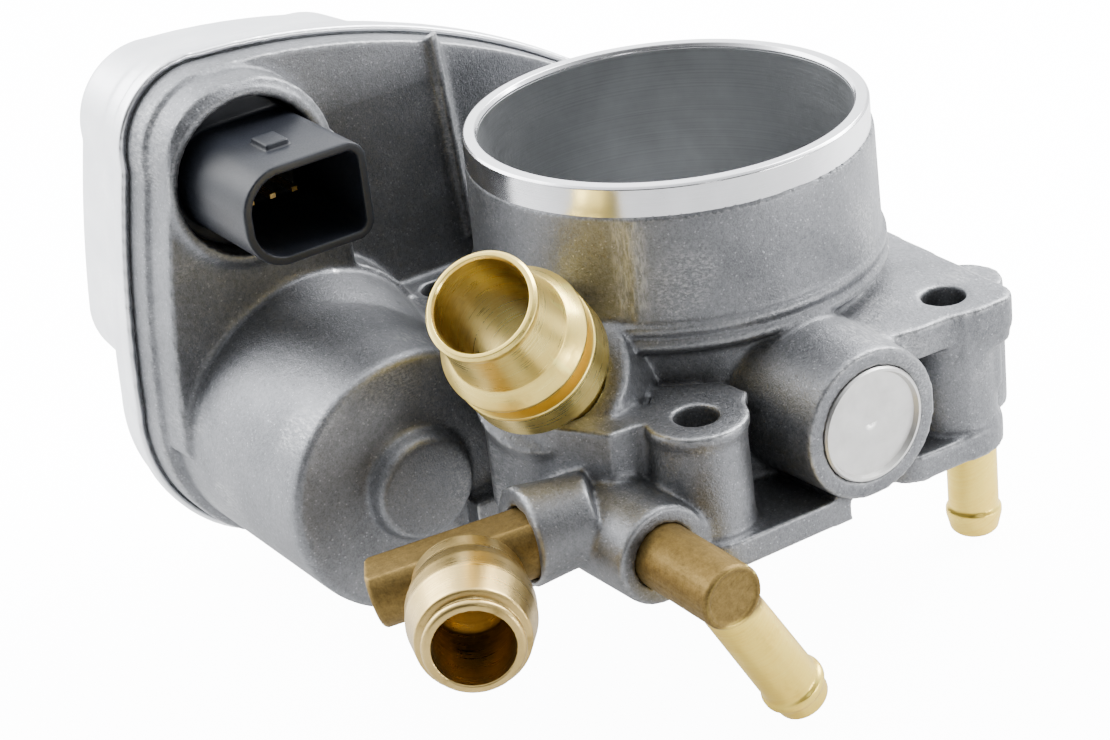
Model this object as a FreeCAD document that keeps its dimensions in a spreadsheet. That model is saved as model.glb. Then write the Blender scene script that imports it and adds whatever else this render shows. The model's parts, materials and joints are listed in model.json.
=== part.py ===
import FreeCAD, Part
import math
import os
from types import SimpleNamespace

import Sketcher
from FreeCAD import Placement, Rotation, Vector

# Electronic throttle body.
# Frame: origin on the bore axis at the manifold mounting face, +Z along the bore to the air inlet,
# +X along the throttle shaft to the plugged bearing boss, -X to the gear housing and its cover.
# Lengths are in millimetres and angles in degrees.

SIZES = [
    ("inlet_radius", 30.1, "air inlet, inside"),
    ("bore_radius", 28.0, "throttle bore"),
    ("mouth_radius", 32.6, "turned outside of the inlet mouth"),
    ("mouth_height", 55.25, "inlet mouth above the mounting face"),
    ("band_height", 5.0, "turned band below the mouth"),
    ("barrel_radius", 33.4, "cast barrel at its foot"),
    ("barrel_draft", 0.42, "radius lost from the barrel's foot to its mouth"),
    ("half_step", 0.36, "mismatch of the two mould halves"),
    ("neck_radius", 31.4, "neck under the barrel's beads"),
    ("core_radius", 34.0, "casting round the throttle bore"),
    ("core_height", 18.5, "top of that casting"),
    ("step_top", 28.0, "start of the cone from inlet to bore"),
    ("step_bottom", 21.0, "end of that cone"),
    ("shaft_height", 16.0, "throttle shaft axis above the mounting face"),
    ("plate_thick", 4.5, "mounting flange"),
    ("flange_corner", 5.0, "rounding of the flange corners"),
    ("hole_x", 37.0, "mounting holes, half spacing along X"),
    ("hole_y", 24.4, "mounting holes, half spacing along Y"),
    ("hole_radius", 3.5, "mounting holes"),
    ("column_radius", 7.5, "columns round the mounting holes"),
    ("front_top", 22.6, "top of the front column"),
    ("rear_top", 25.7, "top of the rear deck"),
    ("left_top", 20.5, "top of the pads beside the gear housing"),
    ("lip_thick", 5.5, "rear deck"),
    ("boss_end", 48.5, "end of the plugged boss"),
    ("boss_radius", 12.34, "plugged boss"),
    ("plug_radius", 9.35, "cup plug"),
    ("plug_depth", 3.0, "seat of the cup plug"),
    ("shaft_radius", 4.0, "throttle shaft"),
    ("shaft_clear", 0.3, "hole round the shaft between its bearings"),
    ("seal_radius", 7.0, "shaft seals and needle cup, outside"),
    ("ball_radius", 11.0, "ball bearing, outside"),
    ("rim_plane", -50.0, "open rim of the gear housing"),
    ("floor_inner", -46.0, "floor of the gear housing, gear side"),
    ("floor_outer", -43.5, "floor of the gear housing, bore side"),
    ("block_plane", -37.0, "face of the deeper block over motor and connector"),
    ("wall", 2.6, "gear housing wall"),
    ("cover_plane", -60.0, "outside of the gear cover"),
    ("cover_wall", 1.3, "gear cover wall"),
    ("bulge_plane", -70.5, "outside of the cover's deep part"),
    ("bulge_end", -57.0, "where the deep part meets the shallow part"),
    ("motor_y", -52.5, "motor axis"),
    ("motor_z", 6.85, "motor axis"),
    ("pot_end", -1.9, "end of the motor pot"),
    ("pot_small", 22.2, "motor pot at its end"),
    ("pot_root", 22.9, "motor pot at its root"),
    ("pot_large", 22.6, "swelling between the pot's root and the block above it"),
    ("can_radius", 18.5, "motor can"),
    ("can_end", -4.6, "closed end of the motor can"),
    ("plug_y", -56.6, "connector axis"),
    ("plug_z", 51.6, "connector axis"),
    ("plug_hole", 13.1, "hole for the connector"),
    ("drum_radius", 16.3, "raised drum round the connector hole"),
    ("socket_end", -17.0, "mouth of the connector"),
    ("socket_wide", 22.6, "connector mouth along Y"),
    ("socket_tall", 16.6, "connector mouth along Z"),
    ("pin_pitch", 4.0, "connector pins"),
    ("coarse_module", 1.0, "sector gear teeth"),
    ("fine_module", 0.8, "motor pinion teeth"),
    ("port_radius", 8.4, "large hose port, tip"),
    ("port_hole", 7.4, "large hose port, inside"),
    ("elbow_tube", 5.2, "coolant elbow, outside of its first leg"),
    ("elbow_y", -37.0, "coolant elbow axis"),
    ("elbow_z", 6.0, "coolant elbow axis"),
    ("nipple_x", 32.0, "vacuum nipple"),
    ("nipple_y", 33.0, "vacuum nipple"),
    ("end_plate_radius", 19.7, "motor end plate"),
    ("idler_pin", 2.5, "pin of the intermediate gear"),
    ("stop_pin", 2.0, "closed stop pin"),
    ("plate_radius", 27.85, "throttle plate"),
    ("disc_thick", 2.0, "throttle plate"),
    ("wire_radius", 0.6, "return spring wire"),
    ("coil_radius", 11.2, "return spring, mean"),
    ("ball_ring", 7.75, "circle through the bearing balls"),
    ("ball_size", 1.985, "bearing balls"),
    ("needle_ring", 5.08, "circle through the needle rollers"),
    ("needle_size", 1.0, "needle rollers"),
    ("rotor_shaft", 1.6, "motor shaft"),
    ("rotor_radius", 13.2, "motor armature"),
]

SECTOR_TEETH = 53
SMALL_TEETH = 13
LARGE_TEETH = 44
PINION_TEETH = 12
PRESSURE_ANGLE = 25.0
CLOSED_ANGLE = 6.0
OPEN_TRAVEL = 82.0

# Local XY drawn on world YZ, so that local Z runs along the throttle shaft.
ALONG_X = Rotation(Vector(0, 1, 0), Vector(0, 0, 1), Vector(1, 0, 0), "ZXY")
UPRIGHT = Rotation()

doc = FreeCAD.newDocument("ThrottleBody")


class Size:
    """A number together with the sheet expression that gives it."""

    def __init__(self, number, text):
        self.number = float(number)
        self.text = text

    @staticmethod
    def of(value):
        return value if isinstance(value, Size) else Size(value, repr(float(value)))

    def __add__(self, other):
        other = Size.of(other)
        return Size(self.number + other.number, "(%s + %s)" % (self.text, other.text))

    def __sub__(self, other):
        other = Size.of(other)
        return Size(self.number - other.number, "(%s - %s)" % (self.text, other.text))

    def __mul__(self, other):
        other = Size.of(other)
        return Size(self.number * other.number, "(%s * %s)" % (self.text, other.text))

    def __truediv__(self, other):
        other = Size.of(other)
        return Size(self.number / other.number, "(%s / %s)" % (self.text, other.text))

    def __neg__(self):
        return Size(-self.number, "(0 - %s)" % self.text)


def fill_sheet():
    sheet = doc.addObject("Spreadsheet::Sheet", "Sizes")
    for row, (alias, number, meaning) in enumerate(SIZES, start=1):
        sheet.set("A%d" % row, alias)
        sheet.set("B%d" % row, str(number))
        sheet.setAlias("B%d" % row, alias)
        sheet.set("C%d" % row, meaning)
    doc.recompute()
    return SimpleNamespace(**{alias: Size(number, "Sizes." + alias) for alias, number, _ in SIZES})


dim = fill_sheet()


# ---------------------------------------------------------------- building blocks

def bind(item, **values):
    for name, value in values.items():
        size = Size.of(value)
        setattr(item, name, size.number)
        item.setExpression(name, size.text)
    return item


def place(item, rotation, x=0.0, y=0.0, z=0.0):
    point = [Size.of(value) for value in (x, y, z)]
    item.Placement = Placement(Vector(*[size.number for size in point]), rotation)
    for axis, size in zip("xyz", point):
        item.setExpression("Placement.Base." + axis, size.text)
    return item


def origin_plane(body, role):
    return next(item for item in body.Origin.OriginFeatures if item.Role == role)


def hold(sketch, kind, geometry, point, value):
    size = Size.of(value)
    if abs(size.number) < 1e-9:
        line = -2 if kind == "DistanceX" else -1
        sketch.addConstraint(Sketcher.Constraint("PointOnObject", geometry, point, line))
        return
    number = sketch.addConstraint(Sketcher.Constraint(kind, -1, 1, geometry, point, size.number))
    sketch.setExpression("Constraints[%d]" % number, size.text)


def arc_between(start, end, radius, side):
    """Arc of a circle from start to end; side is +1 where it bulges to the right of the way."""
    chord = end - start
    middle = (start + end) * 0.5
    across = Vector(chord.y, -chord.x, 0).normalize()
    rise = math.sqrt(max(radius * radius - chord.Length ** 2 / 4, 0.0))
    centre = middle - across * (rise * side)
    circle = Part.Circle(centre, Vector(0, 0, 1), radius)
    angles = [math.atan2(p.y - centre.y, p.x - centre.x) for p in (start, end)]
    if side < 0:
        angles.reverse()
    return Part.ArcOfCircle(circle, angles[0], angles[1])


def draw_loop(sketch, corners):
    """Closed outline. A corner is (u, v), or (u, v, radius, side) where an arc leads to the next."""
    spots = [Vector(Size.of(c[0]).number, Size.of(c[1]).number, 0) for c in corners]
    edges = []
    for index, corner in enumerate(corners):
        start = spots[index]
        end = spots[(index + 1) % len(spots)]
        if len(corner) == 2:
            edges.append((sketch.addGeometry(Part.LineSegment(start, end), False), 1, 2))
            continue
        radius = Size.of(corner[2])
        arc = sketch.addGeometry(arc_between(start, end, radius.number, corner[3]), False)
        edges.append((arc, 1, 2) if corner[3] > 0 else (arc, 2, 1))
        number = sketch.addConstraint(Sketcher.Constraint("Radius", arc, radius.number))
        sketch.setExpression("Constraints[%d]" % number, radius.text)
    for index, (geometry, first, last) in enumerate(edges):
        following = edges[(index + 1) % len(edges)]
        joint = Sketcher.Constraint("Coincident", geometry, last, following[0], following[1])
        sketch.addConstraint(joint)
        hold(sketch, "DistanceX", geometry, first, corners[index][0])
        hold(sketch, "DistanceY", geometry, first, corners[index][1])


def new_body(label):
    body = doc.addObject("PartDesign::Body", label)
    body.Label = label
    return body


def new_sketch(body, role):
    sketch = body.newObject("Sketcher::SketchObject", body.Label + "_sketch")
    sketch.AttachmentSupport = (origin_plane(body, role), [""])
    sketch.MapMode = "FlatFace"
    return sketch


def turned(label, profile):
    """Solid turned about local Z from (radius, height) corners."""
    body = new_body(label)
    sketch = new_sketch(body, "XZ_Plane")
    draw_loop(sketch, profile)
    turn = body.newObject("PartDesign::Revolution", label + "_turn")
    turn.Profile = sketch
    turn.ReferenceAxis = (sketch, ["V_Axis"])
    turn.Angle = 360
    sketch.Visibility = False
    doc.recompute()
    return body


def slab(label, corners, thick, taper=0.0):
    """Plate padded along local Z from an outline."""
    body = new_body(label)
    sketch = new_sketch(body, "XY_Plane")
    draw_loop(sketch, corners)
    pad = body.newObject("PartDesign::Pad", label + "_pad")
    pad.Profile = sketch
    pad.TaperAngle = taper
    bind(pad, Length=thick)
    doc.recompute()
    return body


def round_edges(body, radius, wanted):
    """Fillet the edges of a body's last feature whose midpoint satisfies wanted."""
    doc.recompute()
    base = body.Tip
    names = []
    for number, edge in enumerate(base.Shape.Edges, start=1):
        middle = edge.valueAt((edge.FirstParameter + edge.LastParameter) / 2)
        if wanted(edge, middle):
            names.append("Edge%d" % number)
    fillet = body.newObject("PartDesign::Fillet", body.Label + "_fillet")
    fillet.Base = (base, names)
    bind(fillet, Radius=radius)
    body.Tip = fillet
    doc.recompute()
    return body


def upright_edge(edge):
    if len(edge.Vertexes) < 2:
        return False
    way = edge.Vertexes[1].Point - edge.Vertexes[0].Point
    return math.hypot(way.x, way.y) < 1e-4


def rod(label, radius, length):
    item = doc.addObject("Part::Cylinder", label)
    item.Label = label
    return bind(item, Radius=radius, Height=length)


def cone(label, foot, top, length):
    item = doc.addObject("Part::Cone", label)
    item.Label = label
    return bind(item, Radius1=foot, Radius2=top, Height=length)


def block(label, length, width, height):
    item = doc.addObject("Part::Box", label)
    item.Label = label
    return bind(item, Length=length, Width=width, Height=height)


def fuse(label, items):
    joined = doc.addObject("Part::MultiFuse", label)
    joined.Label = label
    joined.Shapes = items
    return joined


def common(label, items):
    shared = doc.addObject("Part::MultiCommon", label)
    shared.Label = label
    shared.Shapes = items
    return shared


def cut(label, base, tools):
    result = doc.addObject("Part::Cut", label)
    result.Label = label
    result.Base = base
    result.Tool = tools[0] if len(tools) == 1 else fuse(label + "_tools", tools)
    return result


def shaped(label, shape, placement=None):
    """A piece whose outline has no sketch, such as a toothed or coiled one."""
    item = doc.addObject("Part::Feature", label)
    item.Label = label
    item.Shape = shape
    if placement is not None:
        item.Placement = placement
    return item


def sleeve(label, outer, inner, length):
    return turned(label, [(inner, 0.0), (outer, 0.0), (outer, length), (inner, length)])


def along(direction):
    return Rotation(Vector(0, 0, 1), direction)


def on_shaft(item, x):
    return place(item, ALONG_X, x, 0.0, dim.shaft_height)


def on_motor(item, x):
    return place(item, ALONG_X, x, dim.motor_y, dim.motor_z)


# ---------------------------------------------------------------- gear housing outline

# Corners of the gear housing rim in the YZ plane: y, z, direction of the outward normal there, and
# the radius of the arc that leads to the next corner (0 for a straight run).
RIM = [
    (14.0, 46.6, 55.0, 135.0),
    (-57.0, 68.7, 92.0, 13.6),
    (-72.0, 54.0, 172.0, 240.0),
    (-77.4, 12.0, 184.0, 27.0),
    (-50.0, -18.4, 268.0, 0.0),
    (8.0, -18.0, 270.0, 24.0),
    (31.0, 4.0, 350.0, 36.0),
]


def rim_outline(grow):
    """The rim, grown outwards by grow all round."""
    outline = []
    for y, z, normal, radius in RIM:
        turn = math.radians(normal)
        spot = (Size.of(grow) * round(math.cos(turn), 6) + y, Size.of(grow) * round(math.sin(turn), 6) + z)
        if radius:
            spot += (Size.of(grow) + radius, 1)
        outline.append(spot)
    return outline


# ---------------------------------------------------------------- directions of the hose ports

PORT_WAY = Vector(math.cos(math.radians(-57.4)), math.sin(math.radians(-57.4)), math.tan(math.radians(47.1)))
PORT_WAY.normalize()
PORT_TIP = Vector(27.1, -53.4, 47.8)
PORT_SEAT = PORT_TIP - PORT_WAY * 28.5
TEE_WAY = Vector(0.487, 0.844, 0.225)
TEE_WAY.normalize()
TEE_FACE = Vector(26.0, -51.0, 6.3)
NOZZLE_WAY = Vector(0.866, -0.5, 0.0)
NOZZLE_WAY.normalize()
ELBOW_WAY = Vector(0.0, 0.49, -0.87)
ELBOW_WAY.normalize()


def put(item, way, spot):
    item.Placement = Placement(spot, along(way))
    return item


# ---------------------------------------------------------------- housing casting

def barrel():
    foot = dim.barrel_radius
    mouth = foot - dim.barrel_draft

    def half(label, less):
        return turned(label, [
            (0.0, 0.0),
            (dim.core_radius, 0.0),
            (dim.core_radius, dim.core_height),
            (dim.neck_radius, dim.core_height + 1.2),
            (dim.neck_radius, 27.0),
            (dim.neck_radius + 1.9, 28.2),
            (foot + 0.9, 28.8),
            (foot + 0.9, 29.8),
            (foot + 0.3, 30.3),
            (foot + 0.3, 31.0),
            (foot + 0.7, 31.5),
            (foot + 0.7, 32.4),
            (foot - less, 33.0),
            (mouth - less, dim.mouth_height),
            (0.0, dim.mouth_height),
        ])

    reach = 40.0
    side = block("parting_side", 2 * reach, reach, 70.0)
    turn = Rotation(Vector(0, 0, 1), -47.0)
    side.Placement = Placement(turn.multVec(Vector(-reach, 0, -5)), turn)
    right = common("barrel_right", [half("barrel_full", 0.0), side])
    left = half("barrel_left", dim.half_step)
    left.Placement.Base = Vector(0.12, -0.08, 0)
    band = turned("turned_band", [
        (dim.mouth_radius, dim.mouth_height - dim.band_height),
        (dim.mouth_radius + 5.0, dim.mouth_height - dim.band_height - 0.4),
        (dim.mouth_radius + 5.0, dim.mouth_height + 1.0),
        (dim.mouth_radius - 0.5, dim.mouth_height + 1.0),
        (dim.mouth_radius - 0.5, dim.mouth_height),
        (dim.mouth_radius, dim.mouth_height - 0.5),
    ])
    return cut("barrel", fuse("barrel_cast", [right, left]), [band])


def flange():
    plate = slab("flange_plate", [
        (46.5, -27.0),
        (46.5, -3.5),
        (38.0, -3.0),
        (38.0, 6.0),
        (45.0, 10.0),
        (45.6, 24.4, 8.6, 1),
        (37.0, 33.0),
        (30.0, 34.5),
        (-44.5, 34.5),
        (-44.5, 14.0),
        (-36.0, 6.0),
        (-36.0, -6.0),
        (-44.5, -14.0),
        (-44.5, -33.0),
        (-24.0, -36.0),
        (28.0, -36.0),
        (40.0, -33.0),
    ], dim.plate_thick)
    corners = [(46.5, -27.0), (-44.5, 34.5), (-44.5, -33.0), (45.0, 10.0)]

    def at_corner(edge, middle):
        near = [math.hypot(middle.x - x, middle.y - y) < 0.1 for x, y in corners]
        return upright_edge(edge) and any(near)

    return round_edges(plate, dim.flange_corner, at_corner)


def columns():
    heights = {
        (1, -1): dim.front_top,
        (1, 1): dim.rear_top,
        (-1, -1): dim.left_top,
        (-1, 1): dim.left_top,
    }
    made = []
    for (side_x, side_y), top in heights.items():
        name = "column_%d" % len(made)
        column = cone(name, dim.column_radius + 0.5, dim.column_radius, top)
        made.append(place(column, UPRIGHT, dim.hole_x * side_x, dim.hole_y * side_y, 0.0))
    return made


def pads():
    cap = slab("front_cap", [
        (31.272, -30.128, dim.column_radius + 0.6, 1),
        (44.98, -22.99, dim.column_radius + 0.6, 1),
        (39.0, -16.55),
        (36.2, -13.9),
        (30.3, -14.8),
        (24.4, -22.8),
    ], 1.8)
    place(cap, UPRIGHT, 0.0, 0.0, dim.front_top - 1.8)
    web = slab("front_web", [(35.2, -14.1), (36.3, -14.0), (37.6, -17.9), (36.5, -18.2)], 8.0)
    place(web, UPRIGHT, 0.0, 0.0, dim.front_top - 8.0)
    shelf = slab("front_shelf", [(22.0, -16.0), (33.0, -17.0), (31.0, -28.0), (20.0, -26.0)], 21.0)
    deck = slab("rear_deck", [
        (8.0, 22.0),
        (24.0, 6.0),
        (42.4, 8.4),
        (43.7, 14.0),
        (43.9, 20.0),
        (45.2, 25.0),
        (45.2, 29.6, 4.0, 1),
        (41.2, 33.6),
        (34.0, 33.9),
        (6.0, 35.5),
    ], dim.lip_thick)
    place(deck, UPRIGHT, 0.0, 0.0, dim.rear_top - dim.lip_thick)
    lug = slab("rear_lug", [
        (30.0, 18.0),
        (44.7, 22.0),
        (44.7, 29.4, 4.0, 1),
        (40.7, 33.4),
        (30.0, 33.7),
    ], dim.lip_thick + 2.6)
    place(lug, UPRIGHT, 0.0, 0.0, dim.rear_top - dim.lip_thick - 2.6)
    shoulder = slab("rear_shoulder", [
        (30.0, 26.0),
        (43.4, 26.0),
        (43.4, 28.6, 4.0, 1),
        (39.4, 32.6),
        (30.0, 33.0),
    ], 16.0)
    place(shoulder, UPRIGHT, 0.0, 0.0, dim.rear_top - 16.4)
    pad = slab("rear_pad", [
        (26.0, 12.0),
        (42.2, 8.9),
        (43.4, 14.2),
        (43.6, 20.2),
        (43.9, 24.2, 6.7, 1),
        (37.2, 30.9),
        (33.3, 29.0),
        (30.0, 24.1),
        (28.0, 19.5),
    ], 0.35)
    place(pad, UPRIGHT, 0.0, 0.0, dim.rear_top)
    rear_wall = slab("rear_wall", [(6.0, 24.0), (36.0, 26.0), (35.0, 32.4), (6.0, 34.3)], 22.0)
    left_front = slab("left_front_pad", [
        (-44.5, -14.0),
        (-44.5, -33.4),
        (-30.0, -33.4),
        (-20.0, -30.0),
        (-20.0, -14.0),
    ], 5.0)
    left_rear = slab("left_rear_pad", [
        (-44.5, 33.4),
        (-44.5, 14.0),
        (-20.0, 14.0),
        (-14.0, 33.4),
    ], 5.0)
    for pad in (left_front, left_rear):
        place(pad, UPRIGHT, 0.0, 0.0, dim.left_top - 5.0)
    return [cap, web, shelf, deck, lug, shoulder, pad, rear_wall, left_front, left_rear]


def shaft_bosses():
    plugged = on_shaft(cone("plugged_boss", 13.4, dim.boss_radius, dim.boss_end - 22.0), 22.0)
    geared = on_shaft(rod("geared_boss", 14.2, -dim.floor_outer - 24.0), dim.floor_outer)
    return [plugged, geared]


def gear_tray():
    tray = slab("gear_tray", rim_outline(0.0), dim.floor_outer - dim.rim_plane)
    place(tray, ALONG_X, dim.rim_plane)
    prism = slab("deep_prism", rim_outline(-0.6), dim.block_plane - dim.rim_plane, -3.0)
    place(prism, ALONG_X, dim.rim_plane)
    deep = dim.block_plane - dim.rim_plane + 2.0
    drum = place(rod("drum_region", dim.drum_radius, deep), ALONG_X, dim.rim_plane, dim.plug_y, dim.plug_z)
    pot = rod("motor_region", 24.0, deep)
    place(pot, ALONG_X, dim.rim_plane, dim.motor_y + 2.0, dim.motor_z + 2.0)
    side = block("side_region", deep, 24.0, 62.0)
    place(side, UPRIGHT, dim.rim_plane, dim.plug_y - 24.0, dim.motor_z)
    bridge = block("bridge_region", deep, 18.0, 34.0)
    place(bridge, UPRIGHT, dim.rim_plane, dim.plug_y - 1.0, 20.0)
    region = fuse("deep_region", [drum, pot, side, bridge])
    deeper = common("deep_block", [prism, region])
    ring = place(rod("drum_ring", 14.9, 1.0), ALONG_X, dim.block_plane, dim.plug_y, dim.plug_z)
    rib = block("tray_rib", 1.6, 1.8, 38.0)
    rib.Placement = Placement(Vector(-44.0, -14.5, 25.0), Rotation(Vector(1, 0, 0), 4.0))
    return [tray, deeper, ring, rib]


def motor_pot():
    length = dim.pot_end - dim.floor_outer
    pot = turned("motor_pot", [
        (0.0, 0.0),
        (dim.pot_root, 0.0),
        (dim.pot_small, length),
        (0.0, length),
    ])
    round_edges(pot, 1.6, lambda edge, middle: abs(middle.z - length.number) < 0.01)
    on_motor(pot, dim.floor_outer)
    swell = cone("pot_swell", dim.pot_large, 15.0, 34.0)
    place(swell, ALONG_X, dim.floor_outer, dim.motor_y + 3.2, dim.motor_z + 3.2)
    boss = turned("pot_boss", [(0.0, 0.0), (9.6, 0.0), (8.7, 2.8), (8.1, 3.4), (0.0, 3.4)])
    on_motor(boss, dim.pot_end)
    lug = slab("pot_lug", [(-44.5, 1.0), (-44.5, -6.0), (-36.0, -6.0), (-33.0, 1.0)], 6.0)
    place(lug, ALONG_X, dim.pot_end - 2.0)
    gusset = slab("pot_gusset", [(-30.0, -12.0), (-6.0, -12.0), (-1.9, -40.0), (-30.0, -40.0)], 12.0)
    place(gusset, UPRIGHT, 0.0, 0.0, 0.0)
    return [pot, swell, boss, lug, gusset]


def port_bosses():
    seat = cone("port_boss", 16.6, 12.9, 27.0)
    put(seat, PORT_WAY, PORT_SEAT - PORT_WAY * 27.0)
    tee_middle = TEE_FACE + Vector(0, 0, 1.2)
    tee_cone = put(cone("tee_boss_cone", 6.5, 8.9, 18.5), -TEE_WAY, tee_middle + TEE_WAY * 12.5)
    turn = Rotation(Vector(0, 0, 1), -9.2)
    beyond = block("tee_boss_beyond", 60.0, 20.0, 40.0)
    beyond.Placement = Placement(tee_middle + turn.multVec(Vector(-30, -20, -20)), turn)
    tee = cut("tee_boss", tee_cone, [beyond])
    elbow = turned("elbow_boss", [(0.0, 0.0), (8.9, 0.0), (8.1, 24.9), (7.9, 25.1), (0.0, 25.1)])
    place(elbow, ALONG_X, 18.9, dim.elbow_y, dim.elbow_z)
    neck = slab("coolant_neck", [
        (10.0, -28.0),
        (38.0, -28.0),
        (40.0, -34.0),
        (33.0, -42.0),
        (16.0, -44.0),
        (9.0, -38.0),
    ], 11.0)
    place(neck, UPRIGHT, 0.0, 0.0, 1.5)
    saddle = slab("port_saddle", [
        (2.0, -28.0),
        (34.0, -28.0),
        (33.0, -37.6),
        (25.0, -42.0),
        (18.6, -44.6),
        (11.0, -46.2),
        (8.6, -45.0),
    ], 18.0)
    place(saddle, UPRIGHT, 0.0, 0.0, 4.6)
    nipple = place(rod("nipple_boss", 6.2, 22.0), UPRIGHT, dim.nipple_x, dim.nipple_y, 2.0)
    return [seat, tee, elbow, neck, saddle, nipple]


def bore_tools():
    bore = turned("air_bore", [
        (0.0, -1.0),
        (dim.bore_radius + 0.8, -1.0),
        (dim.bore_radius, 0.6),
        (dim.bore_radius, dim.step_bottom),
        (dim.inlet_radius, dim.step_top),
        (dim.inlet_radius, dim.mouth_height - 0.5),
        (dim.inlet_radius + 1.0, dim.mouth_height + 1.0),
        (0.0, dim.mouth_height + 1.0),
    ])
    holes = []
    for side_x in (-1, 1):
        for side_y in (-1, 1):
            hole = rod("mount_hole_%d" % len(holes), dim.hole_radius, 40.0)
            holes.append(place(hole, UPRIGHT, dim.hole_x * side_x, dim.hole_y * side_y, -1.0))
    return [bore] + holes


def shaft_tools():
    """Holes along the throttle shaft, from the gear housing to the cup plug."""
    clear = dim.shaft_radius + dim.shaft_clear
    return [
        on_shaft(rod("shaft_hole", clear, 84.0), -42.0),
        on_shaft(rod("plug_seal_seat", dim.seal_radius, 3.6), 29.5),
        on_shaft(rod("needle_relief", dim.seal_radius - 1.0, 3.0), 32.5),
        on_shaft(rod("needle_seat", dim.seal_radius, 11.5), 34.5),
        on_shaft(rod("plug_seat", dim.plug_radius, dim.plug_depth + 1.0), dim.boss_end - dim.plug_depth),
        on_shaft(rod("gear_seal_seat", dim.seal_radius, 4.2), -38.6),
        on_shaft(rod("ball_seat", dim.ball_radius, 9.0), -47.5),
    ]


def gear_tools():
    deep = dim.floor_inner - dim.rim_plane
    cavity = slab("tray_cavity", rim_outline(-dim.wall), deep + 1.0)
    place(cavity, ALONG_X, dim.rim_plane - 1.0)
    connector = rod("connector_hole", dim.plug_hole, 14.0)
    place(connector, ALONG_X, -48.0, dim.plug_y, dim.plug_z)
    plate_seat = on_motor(rod("end_plate_seat", dim.end_plate_radius + 0.1, 5.0), -47.0)
    can_seat = on_motor(rod("can_seat", dim.can_radius + 0.4, dim.can_end + 44.4), -44.0)
    bush_seat = on_motor(rod("bush_seat", 6.0, 6.0), -6.5)
    idler_seat = place(rod("idler_pin_seat", dim.idler_pin, 3.0), ALONG_X, -47.0, IDLER.x, IDLER.y)
    stop_seat = place(rod("stop_pin_seat", dim.stop_pin, 2.7), ALONG_X, -47.0, STOP.x, STOP.y)
    tools = [cavity, connector, plate_seat, can_seat, bush_seat, idler_seat, stop_seat]
    for number, spot in enumerate(EARS):
        tools.append(place(rod("ear_seat_%d" % number, 3.1, 5.0), ALONG_X, -47.0, spot.x, spot.y))
        tools.append(place(rod("ear_thread_%d" % number, 1.25, 7.0), ALONG_X, -43.0, spot.x, spot.y))
    return tools


def port_tools():
    port = put(rod("port_passage", 6.0, 26.0), PORT_WAY, PORT_SEAT - PORT_WAY * 25.0)
    socket = put(rod("port_socket", 9.2, 6.0), PORT_WAY, PORT_SEAT - PORT_WAY * 3.7)
    tee = put(rod("tee_socket", 5.2, 12.0), TEE_WAY, TEE_FACE - TEE_WAY * 1.0)
    recess = put(rod("tee_recess", 5.9, 12.0), TEE_WAY, TEE_FACE - TEE_WAY * 8.0)
    passage = put(rod("coolant_passage", 3.4, 16.0), TEE_WAY, TEE_FACE)
    elbow = place(rod("elbow_socket", dim.elbow_tube, 11.0), ALONG_X, 34.0, dim.elbow_y, dim.elbow_z)
    bypass = place(rod("coolant_bypass", 3.4, 12.0), ALONG_X, 28.0, dim.elbow_y, dim.elbow_z)
    nipple = place(rod("nipple_socket", 4.2, 11.0), UPRIGHT, dim.nipple_x, dim.nipple_y, -1.0)
    vacuum = place(rod("vacuum_passage", 2.0, 14.0), UPRIGHT, dim.nipple_x, dim.nipple_y, 2.0)
    return [port, socket, tee, recess, passage, elbow, bypass, nipple, vacuum]


def triangle(first, second, apart, side):
    """Point at two given distances from first and second, on the side given."""
    base = second - first
    length = base.Length
    reach = (apart[0] ** 2 - apart[1] ** 2 + length ** 2) / (2 * length)
    rise = math.sqrt(apart[0] ** 2 - reach ** 2) * side
    way = base / length
    return first + way * reach + Vector(-way.y, way.x, 0) * rise


# Gear centres in the YZ plane.
SHAFT = Vector(0.0, dim.shaft_height.number, 0)
MOTOR = Vector(dim.motor_y.number, dim.motor_z.number, 0)
COARSE_APART = dim.coarse_module.number * (SECTOR_TEETH + SMALL_TEETH) / 2
FINE_APART = dim.fine_module.number * (LARGE_TEETH + PINION_TEETH) / 2
IDLER = triangle(SHAFT, MOTOR, (COARSE_APART, FINE_APART), -1)
STOP = SHAFT + Vector(math.cos(math.radians(72.0)), math.sin(math.radians(72.0)), 0) * 21.5
EAR_REACH = 20.9
EARS = [MOTOR + Vector(math.cos(math.radians(turn)), math.sin(math.radians(turn)), 0) * EAR_REACH
        for turn in (120, 345)]


def housing():
    solids = [barrel(), flange()]
    for group in (columns, pads, shaft_bosses, gear_tray, motor_pot, port_bosses):
        solids += group()
    tools = bore_tools() + shaft_tools() + gear_tools() + port_tools()
    return cut("housing", fuse("housing_cast", solids), tools)


# ---------------------------------------------------------------- groups and small helpers

def group(label, items):
    """Several alike solids that make one piece."""
    together = doc.addObject("Part::Compound", label)
    together.Label = label
    together.Links = items
    return together


def around(label, count, radius, centre, make):
    """Items made by make(name) set evenly on a circle about an axis along X through centre."""
    items = []
    for number in range(count):
        turn = 2 * math.pi * number / count
        item = make("%s_%d" % (label, number))
        x = item.Placement.Base.x
        spot = Vector(x, centre.x + radius * math.cos(turn), centre.y + radius * math.sin(turn))
        item.Placement = Placement(spot, ALONG_X)
        items.append(item)
    return group(label, items)


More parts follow.
